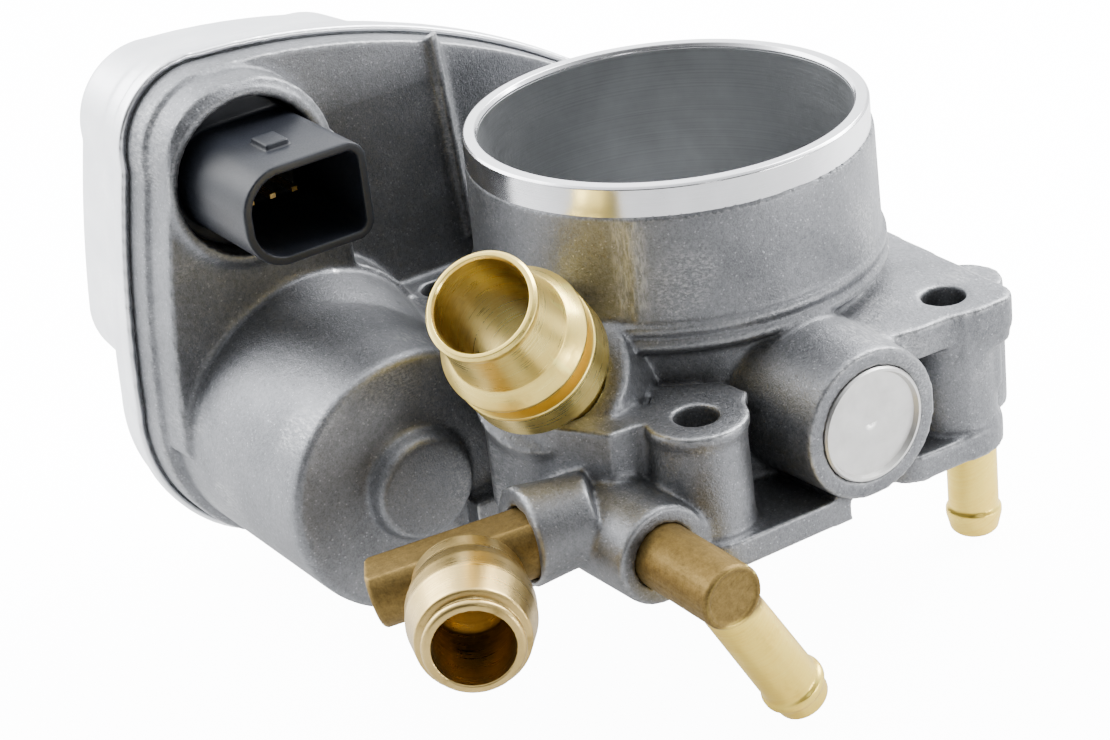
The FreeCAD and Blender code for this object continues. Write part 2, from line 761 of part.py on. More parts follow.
def screw(label, shank, length, head, thick):
    """Pan-head screw along local Z: the head's underside at 0, the shank below it."""
    body = turned(label + "_blank", [
        (0.0, -length),
        (shank - 0.3, -length),
        (shank, -length + 0.4),
        (shank, 0.0),
        (head, 0.0),
        (head, thick * 0.55),
        (head - 0.6, thick),
        (0.0, thick),
    ])
    recess = []
    for wide, deep in ((head * 1.1, 0.7), (0.7, head * 1.1)):
        bar = block("%s_recess_%d" % (label, len(recess)), wide, deep, thick)
        recess.append(place(bar, UPRIGHT, -wide / 2, -deep / 2, thick * 0.45))
    return cut(label, body, recess)


# ---------------------------------------------------------------- cover, gasket and connector

def bulge_outline(less):
    """The cover's deep part, over the connector and the gears, drawn less inwards all round."""
    top, corner, side = rim_outline(Size.of(-0.8) - less)[1:4]
    less = Size.of(less)
    return [
        (-less - 30.2, -less + 64.5, Size.of(134.2) - less, 1),
        top,
        corner,
        (less - 76.0, less + 24.0, Size.of(11.0) - less * 0.5, 1),
        (less * 0.5 - 66.0, less + 12.5),
        (-less * 0.5 - 40.0, less + 12.5, Size.of(14.0) - less * 0.5, 1),
        (-less * 0.9 - 27.5, less * 0.5 + 21.5),
        (-less - 17.0, less * 0.3 + 46.0, Size.of(14.0) - less * 0.5, 1),
    ]


def gear_cover():
    lip = slab("cover_lip", rim_outline(1.4), 3.7)
    place(lip, ALONG_X, -52.5)
    shell = slab("cover_shell", rim_outline(0.5), dim.floor_inner - dim.cover_plane - 6.5)
    round_edges(shell, 3.6, lambda edge, middle: abs(middle.z) < 0.001)
    place(shell, ALONG_X, dim.cover_plane)
    recess = slab("cover_recess", rim_outline(0.15), 3.0)
    place(recess, ALONG_X, -50.6)
    pocket = slab("cover_pocket", rim_outline(-1.2), 9.0)
    round_edges(pocket, 2.4, lambda edge, middle: abs(middle.z) < 0.001)
    place(pocket, ALONG_X, dim.cover_plane + dim.cover_wall)
    deep = dim.bulge_end - dim.bulge_plane
    bulge = slab("cover_bulge", bulge_outline(0.0), deep, 4.0)
    round_edges(bulge, 2.4, lambda edge, middle: abs(middle.z) < 0.001)
    place(bulge, ALONG_X, dim.bulge_plane)
    hollow = slab("cover_hollow", bulge_outline(dim.cover_wall), deep, 4.0)
    round_edges(hollow, 1.2, lambda edge, middle: abs(middle.z) < 0.001)
    place(hollow, ALONG_X, dim.bulge_plane + dim.cover_wall)
    return cut("gear_cover", fuse("cover_drawn", [lip, shell, bulge]), [recess, pocket, hollow])


def cover_gasket():
    outer = place(slab("gasket_outer", rim_outline(0.0), 0.6), ALONG_X, -50.6)
    inner = place(slab("gasket_inner", rim_outline(-2.2), 1.6), ALONG_X, -51.1)
    return cut("cover_gasket", outer, [inner])


def mouth_outline(less):
    """Connector section in local XY: large corner radii on the -Y side, small ones on the +Y side."""
    wide = dim.socket_wide / 2 - less
    tall = dim.socket_tall / 2 - less
    big = Size.of(7.2) - less
    small = Size.of(3.4) - less
    return [
        (-wide + big, -tall),
        (wide - small, -tall, small, 1),
        (wide, -tall + small),
        (wide, tall - small, small, 1),
        (wide - small, tall),
        (-wide + big, tall, big, 1),
        (-wide, tall - big),
        (-wide, -tall + big, big, 1),
    ]


def connector_pins():
    pins = []
    for row in (-3.1, 2.9):
        for column in range(4):
            name = "pin_%d" % len(pins)
            pin = block(name, 25.4, 1.0, 0.8)
            across = dim.pin_pitch * (column - 1.5) - 0.3
            place(pin, UPRIGHT, -58.4, dim.plug_y + across - 0.5, dim.plug_z + row - 0.4)
            pins.append(pin)
    return group("connector_pins", pins)


def connector_shell(pins):
    disc = place(rod("connector_disc", 15.2, 2.2), ALONG_X, -48.2, dim.plug_y, dim.plug_z)
    room = place(slab("connector_room", rim_outline(-2.8), 2.2), ALONG_X, -48.2)
    neck = turned("connector_neck", [
        (0.0, 0.0),
        (12.7, 0.0),
        (12.7, 4.2),
        (11.6, 4.2),
        (11.6, 6.0),
        (12.7, 6.0),
        (12.7, 7.6),
        (0.0, 7.6),
    ])
    place(neck, ALONG_X, -48.2, dim.plug_y, dim.plug_z)
    prism = slab("connector_prism", mouth_outline(0.0), dim.socket_end + 41.6)
    place(prism, ALONG_X, -41.6, dim.plug_y, dim.plug_z)
    lug = block("connector_lug", 5.4, 4.2, 2.0)
    place(lug, UPRIGHT, -29.2, dim.plug_y - 2.4, dim.plug_z + dim.socket_tall / 2 - 1.0)
    cavity = slab("connector_cavity", mouth_outline(1.5), dim.socket_end + 42.0)
    place(cavity, ALONG_X, -41.0, dim.plug_y, dim.plug_z)
    solid = fuse("connector_solid", [common("connector_base", [disc, room]), neck, prism, lug])
    return cut("connector_shell", solid, [cavity, pins])


def connector_seal():
    ring = doc.addObject("Part::Torus", "connector_seal")
    ring.Label = "connector_seal"
    bind(ring, Radius1=12.35, Radius2=0.75)
    return place(ring, ALONG_X, -43.1, dim.plug_y, dim.plug_z)


# ---------------------------------------------------------------- brass hose ports

def large_port():
    tip = dim.port_radius
    body = turned("large_port", [
        (dim.port_hole, 0.3),
        (dim.port_hole + 0.4, 0.0),
        (tip, 0.0),
        (tip + 0.35, 0.5),
        (tip + 0.35, 1.4),
        (tip + 0.1, 1.9),
        (tip + 1.2, 10.5),
        (11.7, 13.2),
        (11.7, 13.9),
        (9.7, 14.3),
        (9.7, 16.7),
        (11.7, 17.0),
        (11.7, 23.6),
        (9.2, 24.4),
        (9.2, 31.9),
        (dim.port_hole, 31.9),
    ])
    return put(body, -PORT_WAY, PORT_TIP)


def coolant_tee():
    bar = turned("tee_bar_blank", [
        (0.0, -9.0),
        (5.2, -9.0),
        (5.2, -3.9),
        (5.7, -3.9),
        (5.7, 23.4),
        (5.2, 24.0),
        (0.0, 24.0),
    ])
    put(bar, -TEE_WAY, TEE_FACE)
    level = block("tee_flats", 60.0, 14.0, 9.2)
    face = Rotation(TEE_WAY, Vector(0, 1, 0), Vector(0, 0, 1), "XZY")
    level.Placement = Placement(TEE_FACE + face.multVec(Vector(-30, -7, -4.6)), face)
    root = TEE_FACE - TEE_WAY * 8.8
    mouth = root + NOZZLE_WAY * 25.5
    nozzle = turned("tee_nozzle", [
        (0.0, 0.0),
        (7.3, 0.0),
        (7.8, 0.5),
        (7.8, 1.3),
        (7.3, 1.5),
        (7.3, 1.9),
        (8.7, 2.2),
        (9.9, 8.0),
        (9.9, 11.6),
        (9.3, 14.6),
        (8.8, 15.0),
        (8.8, 18.6),
        (7.2, 20.2),
        (4.6, 22.0),
        (4.6, 25.5),
        (0.0, 25.5),
    ])
    put(nozzle, -NOZZLE_WAY, mouth)
    flow = put(rod("tee_flow", 3.3, 28.0), -TEE_WAY, TEE_FACE + TEE_WAY * 8.0)
    throat = put(rod("tee_throat", 3.3, 28.0), -NOZZLE_WAY, mouth + NOZZLE_WAY)
    funnel = turned("tee_funnel", [(0.0, -1.0), (6.25, -1.0), (6.25, 15.0), (3.3, 18.0), (0.0, 18.0)])
    put(funnel, -NOZZLE_WAY, mouth)
    solid = fuse("tee_solid", [common("tee_bar", [bar, level]), nozzle])
    return cut("coolant_tee", solid, [flow, throat, funnel])


def coolant_elbow():
    first = turned("elbow_first", [
        (0.0, 0.0),
        (dim.elbow_tube, 0.0),
        (dim.elbow_tube, 25.8),
        (4.85, 26.4),
        (4.3, 26.4),
        (4.1, 26.1),
        (0.0, 26.1),
    ])
    place(first, ALONG_X, 34.6, dim.elbow_y, dim.elbow_z)
    second = turned("elbow_second", [
        (0.0, 0.0),
        (4.4, 0.0),
        (4.65, 24.4),
        (5.2, 25.1),
        (5.2, 26.1),
        (4.55, 27.0),
        (4.3, 29.2),
        (3.7, 29.8),
        (0.0, 29.8),
    ])
    corner = Vector(56.1, dim.elbow_y.number, dim.elbow_z.number)
    put(second, ELBOW_WAY, corner)
    flow = place(rod("elbow_flow", 3.3, 23.0), ALONG_X, 34.0, dim.elbow_y, dim.elbow_z)
    outflow = put(rod("elbow_outflow", 3.1, 31.0), ELBOW_WAY, corner)
    return cut("coolant_elbow", fuse("elbow_solid", [first, second]), [flow, outflow])


def vacuum_nipple():
    body = turned("vacuum_nipple", [
        (2.3, 0.0),
        (3.3, 0.0),
        (4.0, 0.7),
        (4.65, 3.4),
        (4.65, 4.4),
        (4.2, 5.0),
        (4.2, 31.6),
        (2.3, 31.6),
    ])
    return place(body, UPRIGHT, dim.nipple_x, dim.nipple_y, -22.0)


# ---------------------------------------------------------------- shaft, plate and bearings

TILT = Rotation(Vector(1, 0, 0), CLOSED_ANGLE)
AXIS_POINT = Vector(0, 0, dim.shaft_height.number)


def tilted(item, x, y, z):
    """Set an item in the throttle plate's own frame."""
    item.Placement = Placement(AXIS_POINT + TILT.multVec(Vector(x, y, z)), TILT)
    return item


def throttle_shaft():
    bar = turned("shaft_bar", [
        (0.0, 0.0),
        (3.6, 0.0),
        (dim.shaft_radius, 0.4),
        (dim.shaft_radius, 100.0),
        (3.6, 100.4),
        (0.0, 100.4),
    ])
    on_shaft(bar, -56.4)
    slot = tilted(block("plate_slot", 56.4, 10.0, dim.disc_thick + 0.06), -28.2, -5.0, -1.03)
    tools = [slot]
    for x in (-12.0, 12.0):
        number = len(tools)
        tools.append(tilted(block("screw_flat_%d" % number, 8.4, 10.0, 3.0), x - 4.2, -5.0, 2.6))
        tools.append(tilted(rod("screw_bore_%d" % number, 1.5, 12.0), x, 0.0, -6.0))
    return cut("throttle_shaft", bar, tools)


def throttle_plate():
    sheet = tilted(block("plate_sheet", 70.0, 70.0, dim.disc_thick), -35.0, -35.0, -1.0)
    column = place(rod("plate_outline", dim.plate_radius, 40.0), UPRIGHT, 0.0, 0.0, -4.0)
    disc = common("plate_disc", [sheet, column])
    bores = [tilted(rod("plate_bore_%d" % (x > 0), 1.5, 12.0), x, 0.0, -6.0) for x in (-12.0, 12.0)]
    return cut("throttle_plate", disc, bores)


def plate_screws():
    screws = []
    for x in (-12.0, 12.0):
        item = screw("plate_screw_%d" % (x > 0), 1.5, 6.4, 3.1, 1.7)
        screws.append(tilted(item, x, 0.0, 2.6))
    return group("plate_screws", screws)


def bearing_outer():
    body = turned("bearing_outer", [
        (9.6, 0.0),
        (dim.ball_radius, 0.0),
        (dim.ball_radius, 7.0),
        (9.6, 7.0),
        (9.6, 4.311, 2.02, -1),
        (9.6, 2.689),
    ])
    return on_shaft(body, -46.0)


def bearing_inner():
    body = turned("bearing_inner", [
        (dim.shaft_radius, 0.0),
        (6.05, 0.0),
        (6.05, 1.951, 2.3, -1),
        (6.05, 5.049),
        (6.05, 7.0),
        (dim.shaft_radius, 7.0),
    ])
    return on_shaft(body, -46.0)


def bearing_balls():
    def ball(name):
        item = doc.addObject("Part::Sphere", name)
        bind(item, Radius=dim.ball_size)
        item.Placement.Base = Vector(-42.5, 0, 0)
        return item

    return around("bearing_balls", 9, dim.ball_ring.number, SHAFT, ball)


def needle_rollers():
    def needle(name):
        item = rod(name, dim.needle_size, 8.6)
        item.Placement.Base = Vector(35.5, 0, 0)
        return item

    return around("needle_rollers", 14, dim.needle_ring.number, SHAFT, needle)


def needle_cup():
    body = turned("needle_cup", [
        (4.7, 0.0),
        (dim.seal_radius, 0.0),
        (dim.seal_radius, 10.7),
        (0.0, 10.7),
        (0.0, 9.9),
        (6.12, 9.9),
        (6.12, 0.8),
        (4.7, 0.8),
    ])
    return on_shaft(body, 34.5)


def shaft_seals():
    seals = []
    for x in (29.5, -38.5):
        ring = turned("seal_%d" % (x > 0), [
            (4.6, 0.0),
            (dim.seal_radius, 0.0),
            (dim.seal_radius, 3.5),
            (6.2, 3.5),
            (6.2, 1.0),
            (5.0, 1.0),
            (4.8, 2.6),
            (4.08, 2.4),
            (4.4, 1.0),
        ])
        seals.append(on_shaft(ring, x))
    return group("shaft_seals", seals)


def shaft_plug():
    body = turned("shaft_plug", [
        (0.0, 1.5),
        (8.4, 1.5),
        (8.4, 0.1),
        (dim.plug_radius, 0.1),
        (dim.plug_radius, 3.0),
        (9.1, 3.4),
        (8.7, 3.4),
        (8.35, 2.6),
        (0.0, 2.5),
    ])
    return on_shaft(body, dim.boss_end - dim.plug_depth)


# ---------------------------------------------------------------- gears and spring

def involute(angle):
    return math.tan(angle) - angle


def flank(module, teeth):
    """Points of one tooth flank from root to tip, as (radius, angle from the tooth's middle)."""
    pressure = math.radians(PRESSURE_ANGLE)
    pitch = module * teeth / 2
    base = pitch * math.cos(pressure)
    root = pitch - 1.05 * module
    tip = pitch + 0.8 * module
    half = math.pi / (2 * teeth) - 0.06 / pitch
    start = max(base, root)
    points = []
    steps = 4
    for step in range(steps + 1):
        radius = start + (tip - start) * step / steps
        angle = math.acos(min(base / radius, 1.0))
        points.append((radius, half + involute(pressure) - involute(angle)))
    if root < base:
        points.insert(0, (root, points[0][1]))
    return points


def toothed(module, teeth, first, last, middle):
    """Outline points over teeth first to last, tooth 0 being centred on the angle middle."""
    points = []
    side = flank(module, teeth)
    for number in range(first, last + 1):
        centre = middle + 2 * math.pi * number / teeth
        points += [(radius, centre - angle) for radius, angle in side]
        points += [(radius, centre + angle) for radius, angle in reversed(side)]
    return [Vector(radius * math.cos(angle), radius * math.sin(angle), 0) for radius, angle in points]


def prism_of(points, thick):
    outline = Part.makePolygon(points + [points[0]])
    return Part.Face(outline).extrude(Vector(0, 0, thick))


def bearing_of(start, end):
    return math.atan2(end.y - start.y, end.x - start.x)


def ring_cut(outer, inner, deep, height):
    ring = Part.makeCylinder(outer, deep, Vector(0, 0, height))
    return ring.cut(Part.makeCylinder(inner, deep, Vector(0, 0, height)))


def sector_gear():
    module = dim.coarse_module.number
    middle = bearing_of(SHAFT, IDLER)
    points = toothed(module, SECTOR_TEETH, -14, 2, middle)
    web = prism_of([Vector(0, 0, 0)] + points, 5.0)
    angles = [math.atan2(spot.y, spot.x) % (2 * math.pi) for spot in (points[0], points[-1])]
    span = math.degrees(angles[1] - angles[0]) - 12.0
    recess = Part.makeCylinder(22.6, 1.3, Vector(0, 0, 0), Vector(0, 0, 1), span)
    recess.rotate(Vector(0, 0, 0), Vector(0, 0, 1), math.degrees(angles[0]) + 6.0)
    web = web.cut(recess.cut(Part.makeCylinder(11.5, 1.3)))
    hub = Part.makeCylinder(9.5, 9.2)
    whole = web.fuse(hub).cut(Part.makeCylinder(dim.shaft_radius.number, 9.2))
    spot = Vector(-56.0, SHAFT.x, SHAFT.y)
    return shaped("sector_gear", whole.removeSplitter(), Placement(spot, ALONG_X))


def idler_gear():
    coarse = dim.coarse_module.number
    fine = dim.fine_module.number
    gap = math.pi / SMALL_TEETH
    small = prism_of(toothed(coarse, SMALL_TEETH, 0, SMALL_TEETH - 1, bearing_of(IDLER, SHAFT) + gap), 5.6)
    large = prism_of(toothed(fine, LARGE_TEETH, 0, LARGE_TEETH - 1, bearing_of(IDLER, MOTOR)), 3.6)
    large = large.cut(ring_cut(15.4, 8.6, 1.0, 0.0)).cut(ring_cut(15.4, 6.0, 1.0, 2.6))
    large.translate(Vector(0, 0, 5.6))
    whole = small.fuse(large).cut(Part.makeCylinder(dim.idler_pin.number + 0.05, 9.2))
    return shaped("idler_gear", whole, Placement(Vector(-56.0, IDLER.x, IDLER.y), ALONG_X))


def motor_pinion():
    fine = dim.fine_module.number
    gap = math.pi / PINION_TEETH
    points = toothed(fine, PINION_TEETH, 0, PINION_TEETH - 1, bearing_of(MOTOR, IDLER) + gap)
    whole = prism_of(points, 4.4).cut(Part.makeCylinder(dim.rotor_shaft.number, 4.4))
    return shaped("motor_pinion", whole, Placement(Vector(-51.0, MOTOR.x, MOTOR.y), ALONG_X))


def return_spring():
    pitch = 1.32
    radius = dim.coil_radius.number
    helix = Part.makeHelix(pitch, 2 * pitch, radius)
    section = Part.Wire(Part.makeCircle(dim.wire_radius.number, Vector(radius, 0, 0), Vector(0, 1, 0)))
    coil = Part.Wire(helix.Edges).makePipeShell([section], True, True)
    spot = Vector(-49.8, SHAFT.x, SHAFT.y)
    return shaped("return_spring", coil, Placement(spot, ALONG_X))


def pin(label, radius, start, end, centre):
    length = end - start
    body = turned(label, [
        (0.0, 0.0),
        (radius - 0.3, 0.0),
        (radius, 0.3),
        (radius, length),
        (0.0, length),
    ])
    return place(body, ALONG_X, start, centre.x, centre.y)


# ---------------------------------------------------------------- throttle position sensor

def sensor_wiper():
    disc = on_shaft(rod("wiper_disc", 8.2, 0.9), -56.9)
    arm = block("wiper_arm", 0.5, 12.6, 3.4)
    place(arm, UPRIGHT, -56.9, -12.6, dim.shaft_height - 1.7)
    fingers = block("wiper_fingers", 0.4, 1.2, 3.4)
    place(fingers, UPRIGHT, -57.3, -12.6, dim.shaft_height - 1.7)
    hole = on_shaft(rod("wiper_hole", dim.shaft_radius, 1.4), -57.1)
    return cut("sensor_wiper", fuse("wiper_blank", [disc, arm, fingers]), [hole])


def sensor_board(through):
    blank = slab("board_blank", [
        (8.0, 2.0),
        (12.0, 8.0),
        (12.0, 32.0),
        (4.0, 41.0),
        (-44.0, 58.0),
        (-66.0, 58.0),
        (-68.0, 44.0),
        (-70.0, 0.0),
        (-60.0, -2.0),
        (-58.0, 20.0),
        (-50.0, 40.0),
        (-18.0, 34.0),
        (-14.0, 4.0),
    ], 1.2)
    place(blank, ALONG_X, dim.cover_plane + dim.cover_wall)
    return cut("sensor_board", blank, through)


# ---------------------------------------------------------------- motor

def motor_can():
    body = turned("motor_can", [
        (17.3, 0.0),
        (dim.can_radius, 0.0),
        (dim.can_radius, 37.4),
        (5.5, 37.4),
        (5.5, 40.6),
        (0.0, 40.6),
        (0.0, 39.8),
        (4.3, 39.8),
        (4.3, 36.2),
        (17.3, 36.2),
    ])
    return on_motor(body, -42.0)


def motor_magnets():
    magnets = []
    for start in (25.0, 205.0):
        arc = doc.addObject("Part::Feature", "magnet_%d" % len(magnets))
        outer = Part.makeCylinder(17.3, 25.0, Vector(), Vector(0, 0, 1), 130.0)
        arc.Shape = outer.cut(Part.makeCylinder(14.0, 25.0))
        turn = Rotation(Vector(0, 0, 1), start)
        arc.Placement = Placement(Vector(-35.0, MOTOR.x, MOTOR.y), ALONG_X.multiply(turn))
        magnets.append(arc)
    return group("motor_magnets", magnets)


def slots():
    made = []
    for number in range(8):
        item = slab("armature_slot_%d" % number, [
            (6.2, -1.0),
            (11.3, -3.1),
            (11.3, -0.7),
            (15.0, -0.7),
            (15.0, 0.7),
            (11.3, 0.7),
            (11.3, 3.1),
            (6.2, 1.0),
        ], 25.0)
        turn = Rotation(Vector(0, 0, 1), 45.0 * number)
        item.Placement = Placement(Vector(-35.0, MOTOR.x, MOTOR.y), ALONG_X.multiply(turn))
        made.append(item)
    return made


def motor_armature():
    stack = on_motor(sleeve("armature_stack", dim.rotor_radius, dim.rotor_shaft, 21.0), -33.0)
    return cut("motor_armature", stack, slots())


def motor_windings(armature):
    coil = turned("winding_ring", [
        (5.4, 0.0),
        (9.6, 0.0),
        (11.2, 1.4),
        (11.2, 25.6),
        (9.6, 27.0),
        (5.4, 27.0),
    ])
    return cut("motor_windings", on_motor(coil, -36.0), [armature])


def commutator():
    drum = on_motor(sleeve("commutator_drum", 4.4, dim.rotor_shaft, 5.1), -41.5)
    grooves = []
    for number in range(8):
        bar = slab("commutator_gap_%d" % number, [(3.8, -0.2), (5.0, -0.2), (5.0, 0.2), (3.8, 0.2)], 6.0)
        turn = Rotation(Vector(0, 0, 1), 45.0 * number + 22.5)
        bar.Placement = Placement(Vector(-42.0, MOTOR.x, MOTOR.y), ALONG_X.multiply(turn))
        grooves.append(bar)
    return cut("commutator", drum, grooves)


def motor_brushes():
    brushes = []
    for side in (-1, 1):
        item = block("brush_%d" % (side > 0), 3.2, 3.2, 4.5)
        low = 4.6 if side > 0 else -9.1
        place(item, UPRIGHT, -40.6, dim.motor_y - 1.6, dim.motor_z + low)
        brushes.append(item)
    return group("motor_brushes", brushes)


def brush_holder(brushes, terminals):
    disc = on_motor(sleeve("holder_disc", 17.2, 5.6, 1.0), -42.0)
    guides = []
    for side in (-1, 1):
        item = block("guide_%d" % (side > 0), 4.4, 4.8, 6.6)
        low = 5.6 if side > 0 else -12.2
        guides.append(place(item, UPRIGHT, -41.2, dim.motor_y - 2.4, dim.motor_z + low))
    return cut("brush_holder", fuse("holder_blank", [disc] + guides), [brushes, terminals])


def motor_terminals():
    blades = []
    for turn in (190.0, 228.0):
        spot = MOTOR + Vector(math.cos(math.radians(turn)), math.sin(math.radians(turn)), 0) * 11.5
        item = block("blade_%d" % len(blades), 17.2, 0.8, 2.4)
        blades.append(place(item, UPRIGHT, -58.4, spot.x - 0.4, spot.y - 1.2))
    return group("motor_terminals", blades)


def motor_end_plate(terminals):
    disc = on_motor(rod("end_disc", dim.end_plate_radius, 2.0), -44.0)
    hole = on_motor(rod("end_bush_hole", 3.5, 4.0), -45.0)
    ears = [place(rod("ear_%d" % number, 3.0, 2.0), ALONG_X, -44.0, spot.x, spot.y)
            for number, spot in enumerate(EARS)]
    bores = [place(rod("ear_bore_%d" % number, 1.25, 4.0), ALONG_X, -45.0, spot.x, spot.y)
             for number, spot in enumerate(EARS)]
    slits = []
    for number, blade in enumerate(terminals.Links):
        slit = block("blade_slit_%d" % number, 4.0, 1.6, 3.2)
        centre = blade.Placement.Base
        slits.append(place(slit, UPRIGHT, -45.0, centre.y - 0.4, centre.z - 0.4))
    return cut("motor_end_plate", fuse("end_plate_blank", [disc] + ears), [hole] + bores + slits)


def end_plate_screws():
    screws = []
    for number, spot in enumerate(EARS):
        item = screw("end_screw_%d" % number, 1.25, 7.4, 2.4, 1.8)
        item.Placement = Placement(Vector(-44.0, spot.x, spot.y), along(Vector(-1, 0, 0)))
        screws.append(item)
    return group("end_plate_screws", screws)


def motor_bushes():
    front = on_motor(sleeve("bush_front", 3.5, dim.rotor_shaft + 0.06, 3.6), -45.6)
    back = on_motor(sleeve("bush_back", 4.3, dim.rotor_shaft + 0.06, 3.2), -5.8)
    return group("motor_bushes", [front, back])


def motor_shaft():
    body = turned("motor_shaft", [
        (0.0, 0.0),
        (dim.rotor_shaft - 0.3, 0.0),
        (dim.rotor_shaft, 0.3),
        (dim.rotor_shaft, 48.7),
        (0.0, 48.7),
    ])
    return on_motor(body, -51.3)


# ---------------------------------------------------------------- the whole throttle body

def build():
    pins = connector_pins()
    terminals = motor_terminals()
    brushes = motor_brushes()
    armature = motor_armature()
    return [
        housing(),
        gear_cover(),
        cover_gasket(),
        pins,
        connector_shell(pins),
        connector_seal(),
        large_port(),
        coolant_tee(),
        coolant_elbow(),
        vacuum_nipple(),
        throttle_shaft(),
        throttle_plate(),
        plate_screws(),
        bearing_outer(),
        bearing_inner(),
        bearing_balls(),
        needle_cup(),
        needle_rollers(),
        shaft_seals(),
        shaft_plug(),
        sector_gear(),
        idler_gear(),
        pin("idler_pin", dim.idler_pin, -56.0, -44.0, IDLER),
        pin("stop_pin", dim.stop_pin, -55.0, -44.3, STOP),
        return_spring(),
        sensor_wiper(),
        sensor_board([pins, terminals]),
        motor_can(),
        motor_magnets(),
        armature,
        motor_windings(armature),
        commutator(),
        brushes,
        brush_holder(brushes, terminals),
        terminals,
        motor_end_plate(terminals),
        end_plate_screws(),
        motor_bushes(),
        motor_shaft(),
        motor_pinion(),
    ]


NODES = build()


def finish():
    doc.recompute()
    for item in doc.Objects:
        bad = [word for word in item.State if word in ("Invalid", "Error")]
        if bad:
            raise RuntimeError("%s: %s" % (item.Label, item.State))
    for node in NODES:
        if node.Shape.isNull() or not node.Shape.isValid():
            raise RuntimeError("%s has no valid shape" % node.Label)
    os.makedirs("parts", exist_ok=True)
    for node in NODES:
        node.Shape.exportStep(os.path.join("parts", node.Label + ".step"))
        print("%-24s %9.1f mm3, %d solids" % (node.Label, node.Shape.Volume, len(node.Shape.Solids)))


finish()
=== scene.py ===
import json
import math

import bmesh
import bpy
import numpy as np
from mathutils import Matrix, Vector

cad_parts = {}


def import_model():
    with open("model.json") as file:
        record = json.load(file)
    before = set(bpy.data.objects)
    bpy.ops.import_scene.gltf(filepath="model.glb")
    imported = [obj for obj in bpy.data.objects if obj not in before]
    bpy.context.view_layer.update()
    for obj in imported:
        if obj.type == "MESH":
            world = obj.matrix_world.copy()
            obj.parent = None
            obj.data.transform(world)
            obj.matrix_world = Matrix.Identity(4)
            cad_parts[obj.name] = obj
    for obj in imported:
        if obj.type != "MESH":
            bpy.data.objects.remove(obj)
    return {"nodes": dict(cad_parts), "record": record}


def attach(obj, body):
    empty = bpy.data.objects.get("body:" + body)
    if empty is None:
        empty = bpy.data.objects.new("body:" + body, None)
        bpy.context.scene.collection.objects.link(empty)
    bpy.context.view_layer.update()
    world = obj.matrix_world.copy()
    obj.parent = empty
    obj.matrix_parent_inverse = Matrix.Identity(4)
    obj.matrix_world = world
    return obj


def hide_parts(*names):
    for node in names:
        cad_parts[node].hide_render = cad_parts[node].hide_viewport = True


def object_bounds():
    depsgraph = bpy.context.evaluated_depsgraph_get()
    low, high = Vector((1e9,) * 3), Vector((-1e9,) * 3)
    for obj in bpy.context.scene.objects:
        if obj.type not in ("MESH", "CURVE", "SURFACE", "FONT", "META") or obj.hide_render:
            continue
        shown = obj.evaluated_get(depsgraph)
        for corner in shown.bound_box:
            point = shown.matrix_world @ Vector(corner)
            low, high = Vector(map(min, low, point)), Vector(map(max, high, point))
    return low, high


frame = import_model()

# Looks of the electronic throttle body. Lengths are in metres; MM turns millimetres into metres.
MM = 0.001


def plain(box):
    return [[float(value) for value in corner] for corner in box]


cad_box = plain(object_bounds())
mounts = {mount["name"]: mount for mount in frame["record"]["mounts"]}


# ---------------------------------------------------------------- materials

